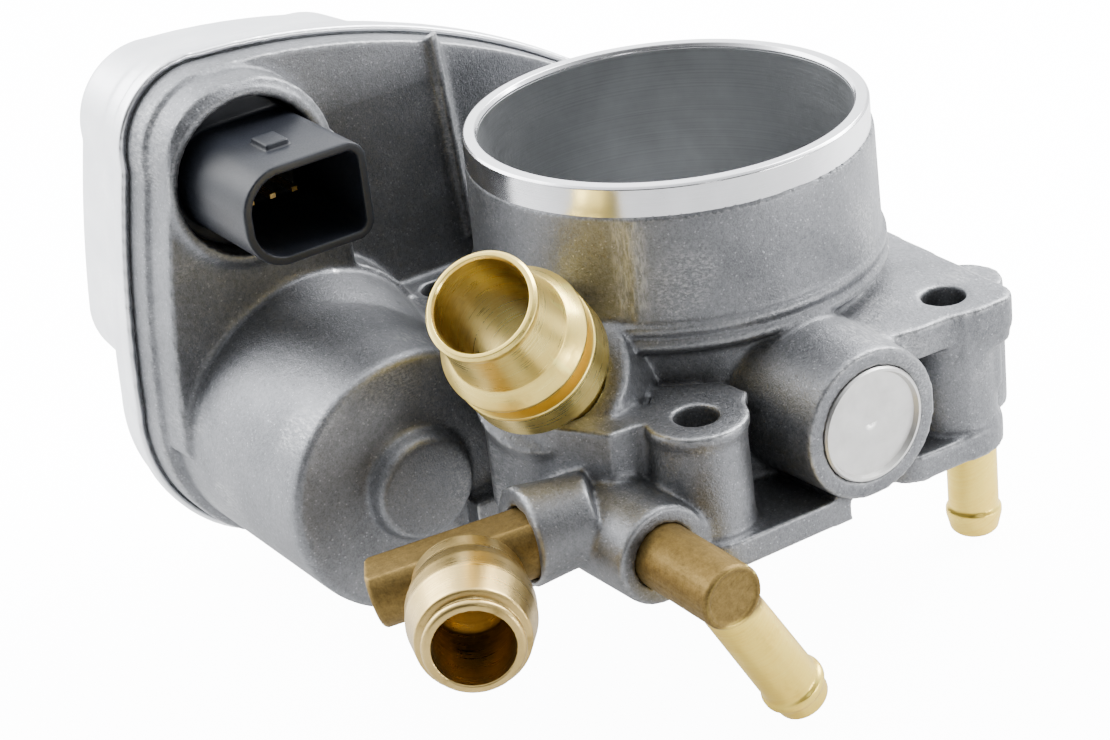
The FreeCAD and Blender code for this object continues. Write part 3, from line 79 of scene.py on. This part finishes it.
class Look:
    """A procedural material, built from a few kinds of node."""

    def __init__(self, name, colour, metallic, roughness):
        self.material = bpy.data.materials.new(name)
        self.material.use_nodes = True
        self.nodes = self.material.node_tree.nodes
        self.links = self.material.node_tree.links
        self.shader = self.nodes["Principled BSDF"]
        self.shader.inputs["Base Color"].default_value = (*colour, 1.0)
        self.shader.inputs["Metallic"].default_value = metallic
        self.shader.inputs["Roughness"].default_value = roughness
        self.place = self.nodes.new("ShaderNodeTexCoord").outputs["Object"]
        self.height = None

    def noise(self, size, detail=4.0, roughness=0.55, stretch=(1.0, 1.0, 1.0), offset=0.0):
        """Noise whose blobs are about size metres across."""
        mapping = self.nodes.new("ShaderNodeMapping")
        mapping.inputs["Scale"].default_value = stretch
        mapping.inputs["Location"].default_value = (offset, offset, offset)
        self.links.new(self.place, mapping.inputs["Vector"])
        node = self.nodes.new("ShaderNodeTexNoise")
        node.inputs["Scale"].default_value = 1.0 / size
        node.inputs["Detail"].default_value = detail
        node.inputs["Roughness"].default_value = roughness
        self.links.new(mapping.outputs["Vector"], node.inputs["Vector"])
        return node.outputs["Fac"]

    def scratches(self, direction, width, offset=0.0):
        """Long fine streaks along a direction."""
        stretch = [1.0 if abs(part) < 0.5 else 0.02 for part in direction]
        return self.noise(width, 2.0, 0.6, stretch, offset)

    def span(self, value, low, high, start=0.0, end=1.0):
        """Value between low and high, spread from start to end and held there."""
        node = self.nodes.new("ShaderNodeMapRange")
        node.inputs["From Min"].default_value = low
        node.inputs["From Max"].default_value = high
        node.inputs["To Min"].default_value = start
        node.inputs["To Max"].default_value = end
        self.links.new(value, node.inputs["Value"])
        return node.outputs["Result"]

    def sum(self, *values):
        return self.fold("ADD", values)

    def product(self, *values):
        return self.fold("MULTIPLY", values)

    def most(self, *values):
        return self.fold("MAXIMUM", values)

    def fold(self, operation, values):
        total = values[0]
        for value in values[1:]:
            node = self.nodes.new("ShaderNodeMath")
            node.operation = operation
            for socket, item in zip(node.inputs, (total, value)):
                if isinstance(item, (int, float)):
                    socket.default_value = item
                else:
                    self.links.new(item, socket)
            total = node.outputs[0]
        return total

    def along(self, direction, origin=(0.0, 0.0, 0.0)):
        """Distance in metres from origin along a direction."""
        way = Vector(direction).normalized()
        node = self.nodes.new("ShaderNodeVectorMath")
        node.operation = "DOT_PRODUCT"
        node.inputs[1].default_value = way
        self.links.new(self.place, node.inputs[0])
        return self.sum(node.outputs["Value"], -way.dot(Vector(origin)))

    def rings(self, direction, pitch):
        """Tool marks left round an axis."""
        node = self.nodes.new("ShaderNodeTexNoise")
        node.noise_dimensions = "1D"
        node.inputs["Scale"].default_value = 1.0 / pitch
        node.inputs["Detail"].default_value = 3.0
        self.links.new(self.along(direction), node.inputs["W"])
        return node.outputs["Fac"]

    def specks(self, size, share):
        """Scattered points that cover about a share of the surface."""
        node = self.nodes.new("ShaderNodeTexVoronoi")
        node.inputs["Scale"].default_value = 1.0 / size
        self.links.new(self.place, node.inputs["Vector"])
        channel = self.nodes.new("ShaderNodeSeparateColor")
        self.links.new(node.outputs["Color"], channel.inputs[0])
        return self.span(channel.outputs[0], 1.0 - share, 1.0 - share * 0.6)

    def blend(self, mask, low, high):
        """Colour low where mask is 0 and high where it is 1; each is a colour or an output."""
        node = self.nodes.new("ShaderNodeMix")
        node.data_type = "RGBA"
        self.links.new(mask, node.inputs["Factor"])
        for socket, colour in zip(("A", "B"), (low, high)):
            wanted = [s for s in node.inputs if s.name == socket and s.type == "RGBA"][0]
            if isinstance(colour, tuple):
                wanted.default_value = (*colour, 1.0)
            else:
                self.links.new(colour, wanted)
        return [s for s in node.outputs if s.type == "RGBA"][0]

    def colour(self, output):
        self.links.new(output, self.shader.inputs["Base Color"])

    def rough(self, output):
        self.links.new(output, self.shader.inputs["Roughness"])

    def edges(self, low=0.505, high=0.56):
        """Where the surface is sharply convex."""
        node = self.nodes.new("ShaderNodeNewGeometry")
        return self.span(node.outputs["Pointiness"], low, high)

    def hollows(self, low=0.495, high=0.44):
        """Where the surface is sharply concave."""
        node = self.nodes.new("ShaderNodeNewGeometry")
        return self.span(node.outputs["Pointiness"], low, high)

    def bump(self, output, depth, strength=1.0):
        node = self.nodes.new("ShaderNodeBump")
        node.inputs["Strength"].default_value = strength
        node.inputs["Distance"].default_value = depth
        self.links.new(output, node.inputs["Height"])
        if self.height is not None:
            self.links.new(self.height, node.inputs["Normal"])
        self.height = node.outputs["Normal"]
        self.links.new(self.height, self.shader.inputs["Normal"])


def cast_look():
    """Die casting: fine grain, filed and rubbed places, painted shade in hollows and bright worn
    edges.
    """
    look = Look("cast_aluminium", (0.30, 0.31, 0.32), 1.0, 0.5)
    grain = look.noise(0.30 * MM, 2.0, 0.6)
    sand = look.noise(0.75 * MM, 3.0, 0.65, offset=3.0)
    cloud = look.noise(13 * MM, 3.0, 0.5, offset=7.0)
    tone = look.sum(
        look.span(grain, 0.32, 0.68, 0.0, 0.45),
        look.span(sand, 0.35, 0.65, 0.0, 0.25),
        look.span(cloud, 0.35, 0.65, 0.0, 0.3),
    )
    base = look.blend(tone, (0.112, 0.116, 0.124), (0.31, 0.315, 0.33))
    base = look.blend(look.product(look.specks(0.24 * MM, 0.02), 0.35), base, (0.60, 0.61, 0.63))
    # Filed strips across the parting lines, and rubbed patches.
    seam = look.along((math.sin(PARTING), -math.cos(PARTING), 0.0))
    strip = look.product(look.span(seam, -3.4 * MM, -2.2 * MM), look.span(seam, 3.0 * MM, 1.9 * MM))
    file_marks = look.noise(0.5 * MM, 3.0, 0.7, (1.0, 1.0, 0.22), 4.0)
    high = look.span(look.along((0, 0, 1)), 33 * MM, 36 * MM)
    filed = look.product(strip, high, look.span(file_marks, 0.42, 0.62, 0.08, 0.5))
    rub = look.noise(0.35 * MM, 2.0, 0.6, (0.25, 0.6, 1.0), 9.0)
    patch = look.span(look.noise(17 * MM, 2.0, 0.5, offset=21.0), 0.56, 0.66)
    rubbed = look.product(patch, look.span(rub, 0.45, 0.65, 0.0, 0.4))
    worn = look.product(look.edges(0.515, 0.575), look.span(sand, 0.3, 0.6, 0.15, 0.9))
    # Painted shade: concave hollows are darkened nearly to black.
    base = look.blend(look.hollows(0.49, 0.42), base, (0.055, 0.057, 0.06))
    base = look.blend(look.most(worn, filed, rubbed), base, (0.56, 0.56, 0.56))
    look.colour(base)
    look.rough(look.sum(
        look.span(grain, 0.3, 0.7, 0.40, 0.60),
        look.product(look.most(worn, filed), -0.16),
    ))
    look.bump(grain, 0.10 * MM, 0.6)
    look.bump(sand, 0.12 * MM, 0.5)
    look.bump(look.noise(4 * MM, 2.0, 0.5, offset=11.0), 0.2 * MM, 0.35)
    look.bump(look.product(filed, file_marks), 0.12 * MM, 0.6)
    return look.material


def machined_look(name, colour, roughness, pitch=0.12 * MM):
    """Metal turned about Z: fine rings that follow the height."""
    look = Look(name, colour, 1.0, roughness)
    rings = look.rings((0, 0, 1), pitch)
    soft = look.noise(6 * MM, 3.0, offset=5.0)
    tone = look.sum(look.span(rings, 0.3, 0.7, 0.0, 0.5), look.span(soft, 0.3, 0.7, 0.0, 0.5))
    look.colour(look.blend(tone, colour, tuple(part * 0.8 for part in colour)))
    look.rough(look.sum(
        look.span(rings, 0.3, 0.7, -0.05, 0.07),
        look.span(soft, 0.3, 0.7, roughness, roughness + 0.1),
    ))
    look.bump(rings, 0.012 * MM, 0.4)
    return look.material


def brass_look(name, light, deep, roughness, stain_and_shade_amount, way=None, dull=None):
    """Brass, with tool marks round an axis along way.

    dull is (mask maker, colour) for the part of a piece that was cast or tumbled, not turned.
    """
    look = Look(name, light, 1.0, roughness)
    cloud = look.noise(5 * MM, 4.0, 0.6)
    fine = look.noise(0.28 * MM, 3.0, 0.6, offset=2.0)
    marks = fine if way is None else look.rings(way, 0.45 * MM)
    tone = look.sum(
        look.span(cloud, 0.35, 0.65, 0.0, 0.45),
        look.span(fine, 0.3, 0.7, 0.0, 0.25),
        look.span(marks, 0.35, 0.65, 0.0, 0.3),
    )
    base = look.blend(tone, light, deep)
    rough = look.sum(
        look.span(cloud, 0.3, 0.7, roughness, roughness + 0.1),
        look.span(marks, 0.3, 0.7, -0.05, 0.07),
    )
    if dull is not None:
        mask = dull[0](look)
        spots = look.noise(1.1 * MM, 4.0, 0.7, offset=15.0)
        shade = look.span(look.sum(look.product(spots, 0.6), look.product(fine, 0.4)), 0.35, 0.65)
        darker = tuple(part * 0.55 for part in dull[1])
        base = look.blend(mask, base, look.blend(shade, dull[1], darker))
        rough = look.sum(rough, look.product(mask, 0.22))
        look.bump(look.product(mask, spots), 0.10 * MM, 0.5)
    # Stain in random patches, and painted shade darkening the hollows.
    stain_and_painted_shade = look.product(look.most(look.hollows(0.495, 0.45), look.span(cloud, 0.6, 0.75)), stain_and_shade_amount)
    base = look.blend(stain_and_painted_shade, base, tuple(part * 0.4 for part in deep))
    rim = look.product(look.edges(0.52, 0.6), 0.5)
    base = look.blend(rim, base, tuple(min(part * 1.15, 1.0) for part in light))
    look.colour(base)
    look.rough(look.sum(rough, look.product(stain_and_painted_shade, 0.2)))
    look.bump(marks, 0.015 * MM, 0.45)
    look.bump(fine, 0.02 * MM, 0.3)
    return look.material


def plastic_look(name, colour, roughness, grain=0.25 * MM, gloss=0.35):
    look = Look(name, colour, 0.0, roughness)
    look.shader.inputs["Specular IOR Level"].default_value = gloss
    fine = look.noise(grain, 3.0, 0.6)
    cloud = look.noise(6 * MM, 3.0, offset=4.0)
    lighter = tuple(min(part * 1.35, 1.0) for part in colour)
    base = look.blend(look.span(cloud, 0.3, 0.7), colour, lighter)
    rub = look.product(look.edges(0.51, 0.57), look.span(fine, 0.4, 0.6))
    base = look.blend(rub, base, tuple(min(part * 1.8 + 0.01, 1.0) for part in colour))
    look.colour(base)
    look.rough(look.span(fine, 0.3, 0.7, roughness - 0.06, roughness + 0.08))
    look.bump(fine, 0.02 * MM, 0.35)
    return look.material


def steel_look(name, colour, roughness, along=(1, 0, 0)):
    look = Look(name, colour, 1.0, roughness)
    streak = look.scratches(along, 0.15 * MM)
    cloud = look.noise(4 * MM, 3.0, offset=6.0)
    base = look.blend(look.span(cloud, 0.3, 0.7), colour, tuple(part * 0.82 for part in colour))
    look.colour(base)
    look.rough(look.sum(
        look.span(streak, 0.3, 0.7, -0.05, 0.07),
        look.span(cloud, 0.3, 0.7, roughness, roughness + 0.1),
    ))
    look.bump(streak, 0.01 * MM, 0.3)
    return look.material


def cover_look():
    look = Look("cover_sheet", (0.86, 0.87, 0.89), 1.0, 0.33)
    brushed = look.scratches((0, 1, 0), 0.2 * MM)
    cloud = look.noise(10 * MM, 3.0, offset=1.0)
    base = look.blend(look.span(cloud, 0.3, 0.7), (0.90, 0.91, 0.93), (0.78, 0.79, 0.82))
    # Painted shade: the sheet's concave hollows are darkened.
    base = look.blend(look.product(look.hollows(0.49, 0.42), 0.7), base, (0.35, 0.36, 0.38))
    look.colour(base)
    look.rough(look.sum(
        look.span(brushed, 0.3, 0.7, -0.04, 0.06),
        look.span(cloud, 0.3, 0.7, 0.28, 0.40),
    ))
    look.bump(brushed, 0.01 * MM, 0.25)
    look.bump(look.noise(1.2 * MM, 3.0, offset=8.0), 0.03 * MM, 0.3)
    return look.material


def above(height):
    """Mask maker: 1 over a height, 0 under it."""
    return lambda look: look.span(look.along((0, 0, 1)), height - 0.6 * MM, height + 0.6 * MM)


def behind(mount, gap):
    """Mask maker: 1 further than gap behind a mount, 0 before it."""
    def mask(look):
        distance = look.along(mount["axis"], mount["pos_m"])
        return look.span(distance, -gap + 0.3 * MM, -gap - 0.3 * MM)
    return mask


PARTING = math.radians(-47.0)
DULL_BRASS = (0.28, 0.19, 0.065)
port_axis = mounts["large_hose_collar"]["axis"]
tee_mount = mounts["tee_hose_collar"]

LOOKS = {
    "cast_aluminium": cast_look(),
    "machined": machined_look("machined", (0.86, 0.86, 0.88), 0.14),
    "inlet_wall": machined_look("inlet_wall", (0.36, 0.37, 0.38), 0.42, 0.3 * MM),
    "cover_sheet": cover_look(),
    "rubber": plastic_look("rubber", (0.05, 0.05, 0.055), 0.65),
    "gasket": plastic_look("gasket", (0.28, 0.29, 0.31), 0.55),
    "pin_metal": steel_look("pin_metal", (0.80, 0.58, 0.25), 0.25),
    "black_plastic": plastic_look("black_plastic", (0.010, 0.0115, 0.016), 0.40, gloss=0.27),
    "turned_brass": brass_look(
        "turned_brass", (0.98, 0.78, 0.24), (0.86, 0.62, 0.15), 0.26, 0.3, port_axis,
    ),
    "tumbled_brass": brass_look(
        "tumbled_brass", (0.68, 0.50, 0.20), (0.50, 0.35, 0.12), 0.26, 0.6, tee_mount["axis"],
        (behind(tee_mount, 8.6 * MM), DULL_BRASS),
    ),
    "pale_brass": brass_look(
        "pale_brass", (1.0, 0.76, 0.17), (0.92, 0.64, 0.11), 0.3, 0.25, (0.0, 0.49, -0.87),
        (above(1.6 * MM), DULL_BRASS),
    ),
    "steel": steel_look("steel", (0.56, 0.56, 0.57), 0.28),
    "plate_metal": steel_look("plate_metal", (0.62, 0.61, 0.59), 0.34),
    "plug_steel": steel_look("plug_steel", (0.72, 0.71, 0.69), 0.36, (0, 1, 0)),
    "gear_plastic": plastic_look("gear_plastic", (0.62, 0.59, 0.50), 0.42),
    "board_laminate": plastic_look("board_laminate", (0.03, 0.12, 0.06), 0.40),
    "can_steel": steel_look("can_steel", (0.45, 0.45, 0.46), 0.36),
    "ferrite": plastic_look("ferrite", (0.05, 0.05, 0.055), 0.6),
    "copper": brass_look("copper", (0.80, 0.38, 0.20), (0.60, 0.26, 0.12), 0.28, 0.5),
    "carbon": plastic_look("carbon", (0.03, 0.03, 0.03), 0.55),
    "bronze": brass_look("bronze", (0.62, 0.42, 0.20), (0.48, 0.30, 0.13), 0.40, 0.8),
    "pinion_brass": brass_look("pinion_brass", (0.84, 0.62, 0.25), (0.72, 0.50, 0.18), 0.22, 0.4),
}


def dress(item, name):
    item.data.materials.clear()
    item.data.materials.append(LOOKS[name])


slot_of = {part["node"]: part["material_slot"] for part in frame["record"]["subparts"]}
for node, item in frame["nodes"].items():
    dress(item, slot_of[node])
dress(frame["nodes"]["cover_gasket"], "gasket")


# ---------------------------------------------------------------- shape helpers

def applied(item):
    """The item's mesh with its modifiers worked in."""
    bpy.context.view_layer.update()
    graph = bpy.context.evaluated_depsgraph_get()
    mesh = bpy.data.meshes.new_from_object(item.evaluated_get(graph))
    item.modifiers.clear()
    item.data = mesh
    return mesh


def relax(mesh, rounds, weight_of):
    """Laplacian smoothing that rounds edges and fillets corners where weight_of is above 0."""
    count = len(mesh.vertices)
    spots = np.empty(count * 3, dtype=np.float32)
    mesh.vertices.foreach_get("co", spots)
    spots = spots.reshape(-1, 3).astype(np.float64)
    ends = np.empty(len(mesh.edges) * 2, dtype=np.int32)
    mesh.edges.foreach_get("vertices", ends)
    first, second = ends.reshape(-1, 2).T
    degree = np.bincount(first, minlength=count) + np.bincount(second, minlength=count)
    weight = 0.5 * weight_of(spots)
    for _ in range(rounds):
        for axis in range(3):
            line = spots[:, axis]
            total = np.bincount(first, line[second], count) + np.bincount(second, line[first], count)
            spots[:, axis] = line + weight * (total / np.maximum(degree, 1) - line)
    return spots


def write_spots(mesh, spots):
    mesh.vertices.foreach_set("co", spots.astype(np.float32).ravel())
    mesh.update()


def even(spots):
    return np.ones(len(spots))


def soften(node, voxel, rounds, weight_of=even, shape=None):
    """A finely meshed copy of a CAD node with rounded edges, standing for that node.

    voxel is the size of its mesh, and shape moves the rounded mesh's points at the end.
    """
    source = frame["nodes"][node]
    piece = bpy.data.objects.new(node + "_skin", source.data.copy())
    bpy.context.collection.objects.link(piece)
    remesh = piece.modifiers.new("even", "REMESH")
    remesh.mode = "VOXEL"
    remesh.voxel_size = voxel
    mesh = applied(piece)
    spots = relax(mesh, rounds, weight_of)
    if shape is not None:
        spots = shape(spots)
    write_spots(mesh, spots)
    mesh.polygons.foreach_set("use_smooth", [True] * len(mesh.polygons))
    dress(piece, slot_of[node])
    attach(piece, "housing")
    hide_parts(node)
    return piece


EDGE_ROUND = 0.12 * MM
EDGE_STEPS = 2
EDGE_ANGLE = math.radians(24)
TURNED_STEPS = 160


def turned(name, profile, origin, axis, look):
    """Closed ring or solid of revolution from (radius, height) in mm, about axis through origin."""
    mesh = bpy.data.meshes.new(name)
    shape = bmesh.new()
    rings = []
    for radius, height in profile:
        ring = []
        for step in range(TURNED_STEPS):
            turn = 2 * math.pi * step / TURNED_STEPS
            spot = (radius * MM * math.cos(turn), radius * MM * math.sin(turn), height * MM)
            ring.append(shape.verts.new(spot))
        rings.append(ring)
    for low, high in zip(rings, rings[1:] + rings[:1]):
        for step in range(TURNED_STEPS):
            following = (step + 1) % TURNED_STEPS
            shape.faces.new((low[step], low[following], high[following], high[step]))
    bmesh.ops.recalc_face_normals(shape, faces=shape.faces)
    for face in shape.faces:
        face.smooth = True
    shape.to_mesh(mesh)
    shape.free()
    piece = bpy.data.objects.new(name, mesh)
    bpy.context.collection.objects.link(piece)
    way = Vector(axis).normalized()
    swing = Vector((0, 0, 1)).rotation_difference(way).to_matrix().to_4x4()
    mesh.transform(Matrix.Translation(Vector(origin)) @ swing)
    bevel = piece.modifiers.new("rounded", "BEVEL")
    bevel.width = EDGE_ROUND
    bevel.segments = EDGE_STEPS
    bevel.limit_method = "ANGLE"
    bevel.angle_limit = EDGE_ANGLE
    bevel.harden_normals = True
    applied(piece)
    piece.data.materials.clear()
    piece.data.materials.append(LOOKS[look])
    return piece


# ---------------------------------------------------------------- housing

def reach(spots):
    """Each spot's distance from the bore's axis."""
    return np.hypot(spots[:, 0], spots[:, 1])


# Where the casting is machined or has fine detail, so that it is rounded less.
BORE_REACH = 29 * MM
FACE_HEIGHT = 0.4 * MM
FACE_REACH = 47 * MM
BEAD_REACH = (31 * MM, 35.5 * MM)
BEAD_HEIGHT = (27 * MM, 34 * MM)
BORE_ROUNDING = 0.15
FACE_ROUNDING = 0.25
BEAD_ROUNDING = 0.1


def between(values, limits):
    low, high = limits
    return (values > low) & (values < high)


def cast_weight(spots):
    """Casting is rounded all over except where it was machined."""
    weight = np.ones(len(spots))
    radius = reach(spots)
    height = spots[:, 2]
    weight[radius < BORE_REACH] = BORE_ROUNDING
    face = height < FACE_HEIGHT
    weight[face] = np.where(radius[face] < FACE_REACH, FACE_ROUNDING, 1.0)
    weight[between(radius, BEAD_REACH) & between(height, BEAD_HEIGHT)] = BEAD_ROUNDING
    return weight


# The turned inlet wall and mouth ring cover the casting here.
WALL_FOOT = 25.0 * MM
WALL_REACH = (28.2 * MM, 30.7 * MM)
BEHIND_WALL = 30.75 * MM
BAND_FOOT = 50.4 * MM
BAND_REACH = (31.4 * MM, 33.5 * MM)
UNDER_BAND = 32.2 * MM
MOUTH_REACH = (29 * MM, 34 * MM)
UNDER_MOUTH = 54.6 * MM


def tuck(spots):
    """Draw the casting back where the turned wall and ring cover it."""
    radius = reach(spots)
    height = spots[:, 2]
    scale = np.ones(len(spots))
    inside = (height > WALL_FOOT) & between(radius, WALL_REACH)
    scale[inside] = np.maximum(BEHIND_WALL / radius[inside], 1.0)
    around = (height > BAND_FOOT) & between(radius, BAND_REACH)
    scale[around] = np.minimum(UNDER_BAND / radius[around], 1.0)
    spots[:, 0] *= scale
    spots[:, 1] *= scale
    top = (height > UNDER_MOUTH) & between(radius, MOUTH_REACH)
    spots[top, 2] = UNDER_MOUTH
    return spots


soften("housing", 0.5 * MM, 5, cast_weight, tuck)

mouth_ring = turned("mouth_ring", [
    (30.1, 54.3),
    (30.1, 54.6),
    (30.55, 55.25),
    (32.2, 55.25),
    (32.6, 54.85),
    (32.6, 50.3),
    (31.3, 50.0),
    (31.3, 54.3),
], (0, 0, 0), (0, 0, 1), "machined")
inlet_wall = turned("inlet_wall", [
    (29.08, 24.6),
    (30.1, 28.0),
    (30.1, 54.3),
    (31.2, 54.3),
    (31.2, 27.0),
    (30.2, 24.2),
], (0, 0, 0), (0, 0, 1), "inlet_wall")
for piece in (mouth_ring, inlet_wall):
    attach(piece, "housing")

soften("gear_cover", 0.42 * MM, 5)
soften("connector_shell", 0.25 * MM, 4)
soften("coolant_tee", 0.22 * MM, 4)
soften("coolant_elbow", 0.2 * MM, 3)
soften("vacuum_nipple", 0.2 * MM, 2)


# ---------------------------------------------------------------- large brass port

TIP_BEYOND_COLLAR = 20.3 * MM
collar = mounts["large_hose_collar"]
port_way = Vector(collar["axis"])
port_tip = Vector(collar["pos_m"]) + port_way * TIP_BEYOND_COLLAR
large_port = turned("large_port_turned", [
    (7.4, 0.5),
    (7.7, 0.0),
    (8.3, 0.0),
    (8.75, 0.5),
    (8.75, 1.3),
    (8.5, 1.9),
    (8.75, 4.5),
    (9.1, 7.5),
    (9.6, 10.5),
    (11.6, 13.0),
    (11.7, 13.3),
    (11.65, 13.8),
    (9.7, 14.2),
    (9.7, 16.7),
    (11.55, 16.9),
    (11.7, 17.2),
    (11.7, 23.3),
    (11.5, 23.7),
    (9.2, 24.2),
    (9.2, 31.9),
    (7.4, 31.9),
], port_tip, -port_way, "turned_brass")
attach(large_port, "housing")
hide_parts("large_port")


# ---------------------------------------------------------------- floor, lights and camera

# The view: angles in radians, place in metres, lens and sensor in millimetres.
VIEW_AZIMUTH, VIEW_ELEVATION, VIEW_ROLL = 1.070448, 0.466173, -0.136769
VIEW_PLACE = Vector((343.96, -231.92, 210.96)) * MM
VIEW_SHIFT = (0.0814, 0.0541)
LENS = 89.17946
SENSOR = 36.0
NEAR, FAR = 0.01, 20.0
TOWARDS_FRONT = (math.sin(VIEW_AZIMUTH), -math.cos(VIEW_AZIMUTH), 0.0)

# The floor's glow behind the object and in front of it, and where it fades from one to the other.
# FLOOR_WHITE is added only for the camera's own rays, so it whitens the floor and lights nothing.
FLOOR_GLOW = 1.9
FRONT_GLOW = 0.12
GLOW_FADE = (-0.06, 0.10)
FLOOR_WHITE = 12.0
FLOOR_HALF = 3
FLOOR_GAP = 0.2 * MM


def floor_look():
    """A white light table whose glow lights the object less from the front than from behind."""
    look = Look("pale_floor", (0.45, 0.45, 0.45), 0.0, 0.7)
    front = look.along(TOWARDS_FRONT)
    glow = look.span(front, *GLOW_FADE, FLOOR_GLOW, FRONT_GLOW)
    seen = look.nodes.new("ShaderNodeLightPath").outputs["Is Camera Ray"]
    strength = look.sum(glow, look.product(seen, FLOOR_WHITE))
    look.links.new(strength, look.shader.inputs["Emission Strength"])
    look.shader.inputs["Emission Color"].default_value = (0.98, 0.99, 1.0, 1.0)
    look.bump(look.noise(1.5 * MM, 3.0), 0.02 * MM, 0.1)
    return look.material


def backdrop():
    """Plain floor under the object."""
    low = cad_box[0][2] - FLOOR_GAP
    mesh = bpy.data.meshes.new("floor")
    shape = bmesh.new()
    corners = [(x * FLOOR_HALF, y * FLOOR_HALF) for x, y in ((-1, -1), (1, -1), (1, 1), (-1, 1))]
    shape.faces.new([shape.verts.new((x, y, low)) for x, y in corners])
    shape.to_mesh(mesh)
    shape.free()
    floor = bpy.data.objects.new("floor", mesh)
    bpy.context.collection.objects.link(floor)
    floor.data.materials.append(floor_look())


def area_light(name, spot, target, size, power):
    """Soft lamp: place, aim and size in metres, power in watts."""
    data = bpy.data.lights.new(name, "AREA")
    data.shape = "RECTANGLE"
    data.size, data.size_y = size
    data.energy = power
    lamp = bpy.data.objects.new(name, data)
    bpy.context.collection.objects.link(lamp)
    lamp.visible_camera = False
    lamp.location = spot
    lamp.rotation_euler = (Vector(target) - Vector(spot)).to_track_quat("-Z", "Y").to_euler()


def camera():
    azimuth, elevation, roll = VIEW_AZIMUTH, VIEW_ELEVATION, VIEW_ROLL
    back = Vector((
        math.sin(azimuth) * math.cos(elevation),
        -math.cos(azimuth) * math.cos(elevation),
        math.sin(elevation),
    ))
    level = Vector((math.cos(azimuth), math.sin(azimuth), 0.0))
    up = back.cross(level)
    right = math.cos(roll) * level + math.sin(roll) * up
    upward = -math.sin(roll) * level + math.cos(roll) * up
    data = bpy.data.cameras.new("camera")
    data.sensor_width = SENSOR
    data.lens = LENS
    data.shift_x, data.shift_y = VIEW_SHIFT
    data.clip_start, data.clip_end = NEAR, FAR
    item = bpy.data.objects.new("camera", data)
    bpy.context.collection.objects.link(item)
    place = Matrix.Identity(4)
    for column, way in enumerate((right, upward, back)):
        for row in range(3):
            place[row][column] = way[row]
    place.translation = VIEW_PLACE
    item.matrix_world = place
    bpy.context.scene.camera = item


def world():
    """Studio surroundings: bright above, behind and beside, dark towards the front."""
    data = bpy.data.worlds.new("studio")
    data.use_nodes = True
    nodes = data.node_tree.nodes
    links = data.node_tree.links
    where = nodes.new("ShaderNodeTexCoord").outputs["Generated"]

    def brightness(direction, low, high, start, end):
        """From start to end as the sky turns towards a direction."""
        dot = nodes.new("ShaderNodeVectorMath")
        dot.operation = "DOT_PRODUCT"
        dot.inputs[1].default_value = Vector(direction).normalized()
        links.new(where, dot.inputs[0])
        spread = nodes.new("ShaderNodeMapRange")
        spread.interpolation_type = "SMOOTHSTEP"
        for name, value in zip(("From Min", "From Max", "To Min", "To Max"), (low, high, start, end)):
            spread.inputs[name].default_value = value
        links.new(dot.outputs["Value"], spread.inputs["Value"])
        return spread.outputs["Result"]

    total, *others = (
        brightness(TOWARDS_FRONT, -0.1, 0.7, 2.1, 0.08),
        brightness((-1, -0.2, 0.1), 0.3, 0.9, 0.0, 2.2),
        brightness((0, 0, 1), 0.75, 1.0, 0.0, 0.9),
    )
    for part in others:
        add = nodes.new("ShaderNodeMath")
        add.operation = "ADD"
        links.new(total, add.inputs[0])
        links.new(part, add.inputs[1])
        total = add.outputs[0]
    shade = nodes["Background"]
    shade.inputs["Color"].default_value = (0.96, 0.98, 1.0, 1.0)
    links.new(total, shade.inputs["Strength"])
    bpy.context.scene.world = data


backdrop()
area_light("key", (-0.05, 0.55, 0.55), (0, 0, 0.03), (0.5, 0.5), 14.0)
area_light("left", (-0.55, -0.35, 0.5), (0, 0, 0.03), (0.5, 0.6), 6.0)
area_light("front", (0.75, -0.15, 0.45), (0, 0, 0.03), (0.12, 0.3), 0.6)
area_light("right", (0.68, 0.36, 0.03), (0.03, 0, 0.01), (0.36, 0.08), 2.4)
camera()
world()
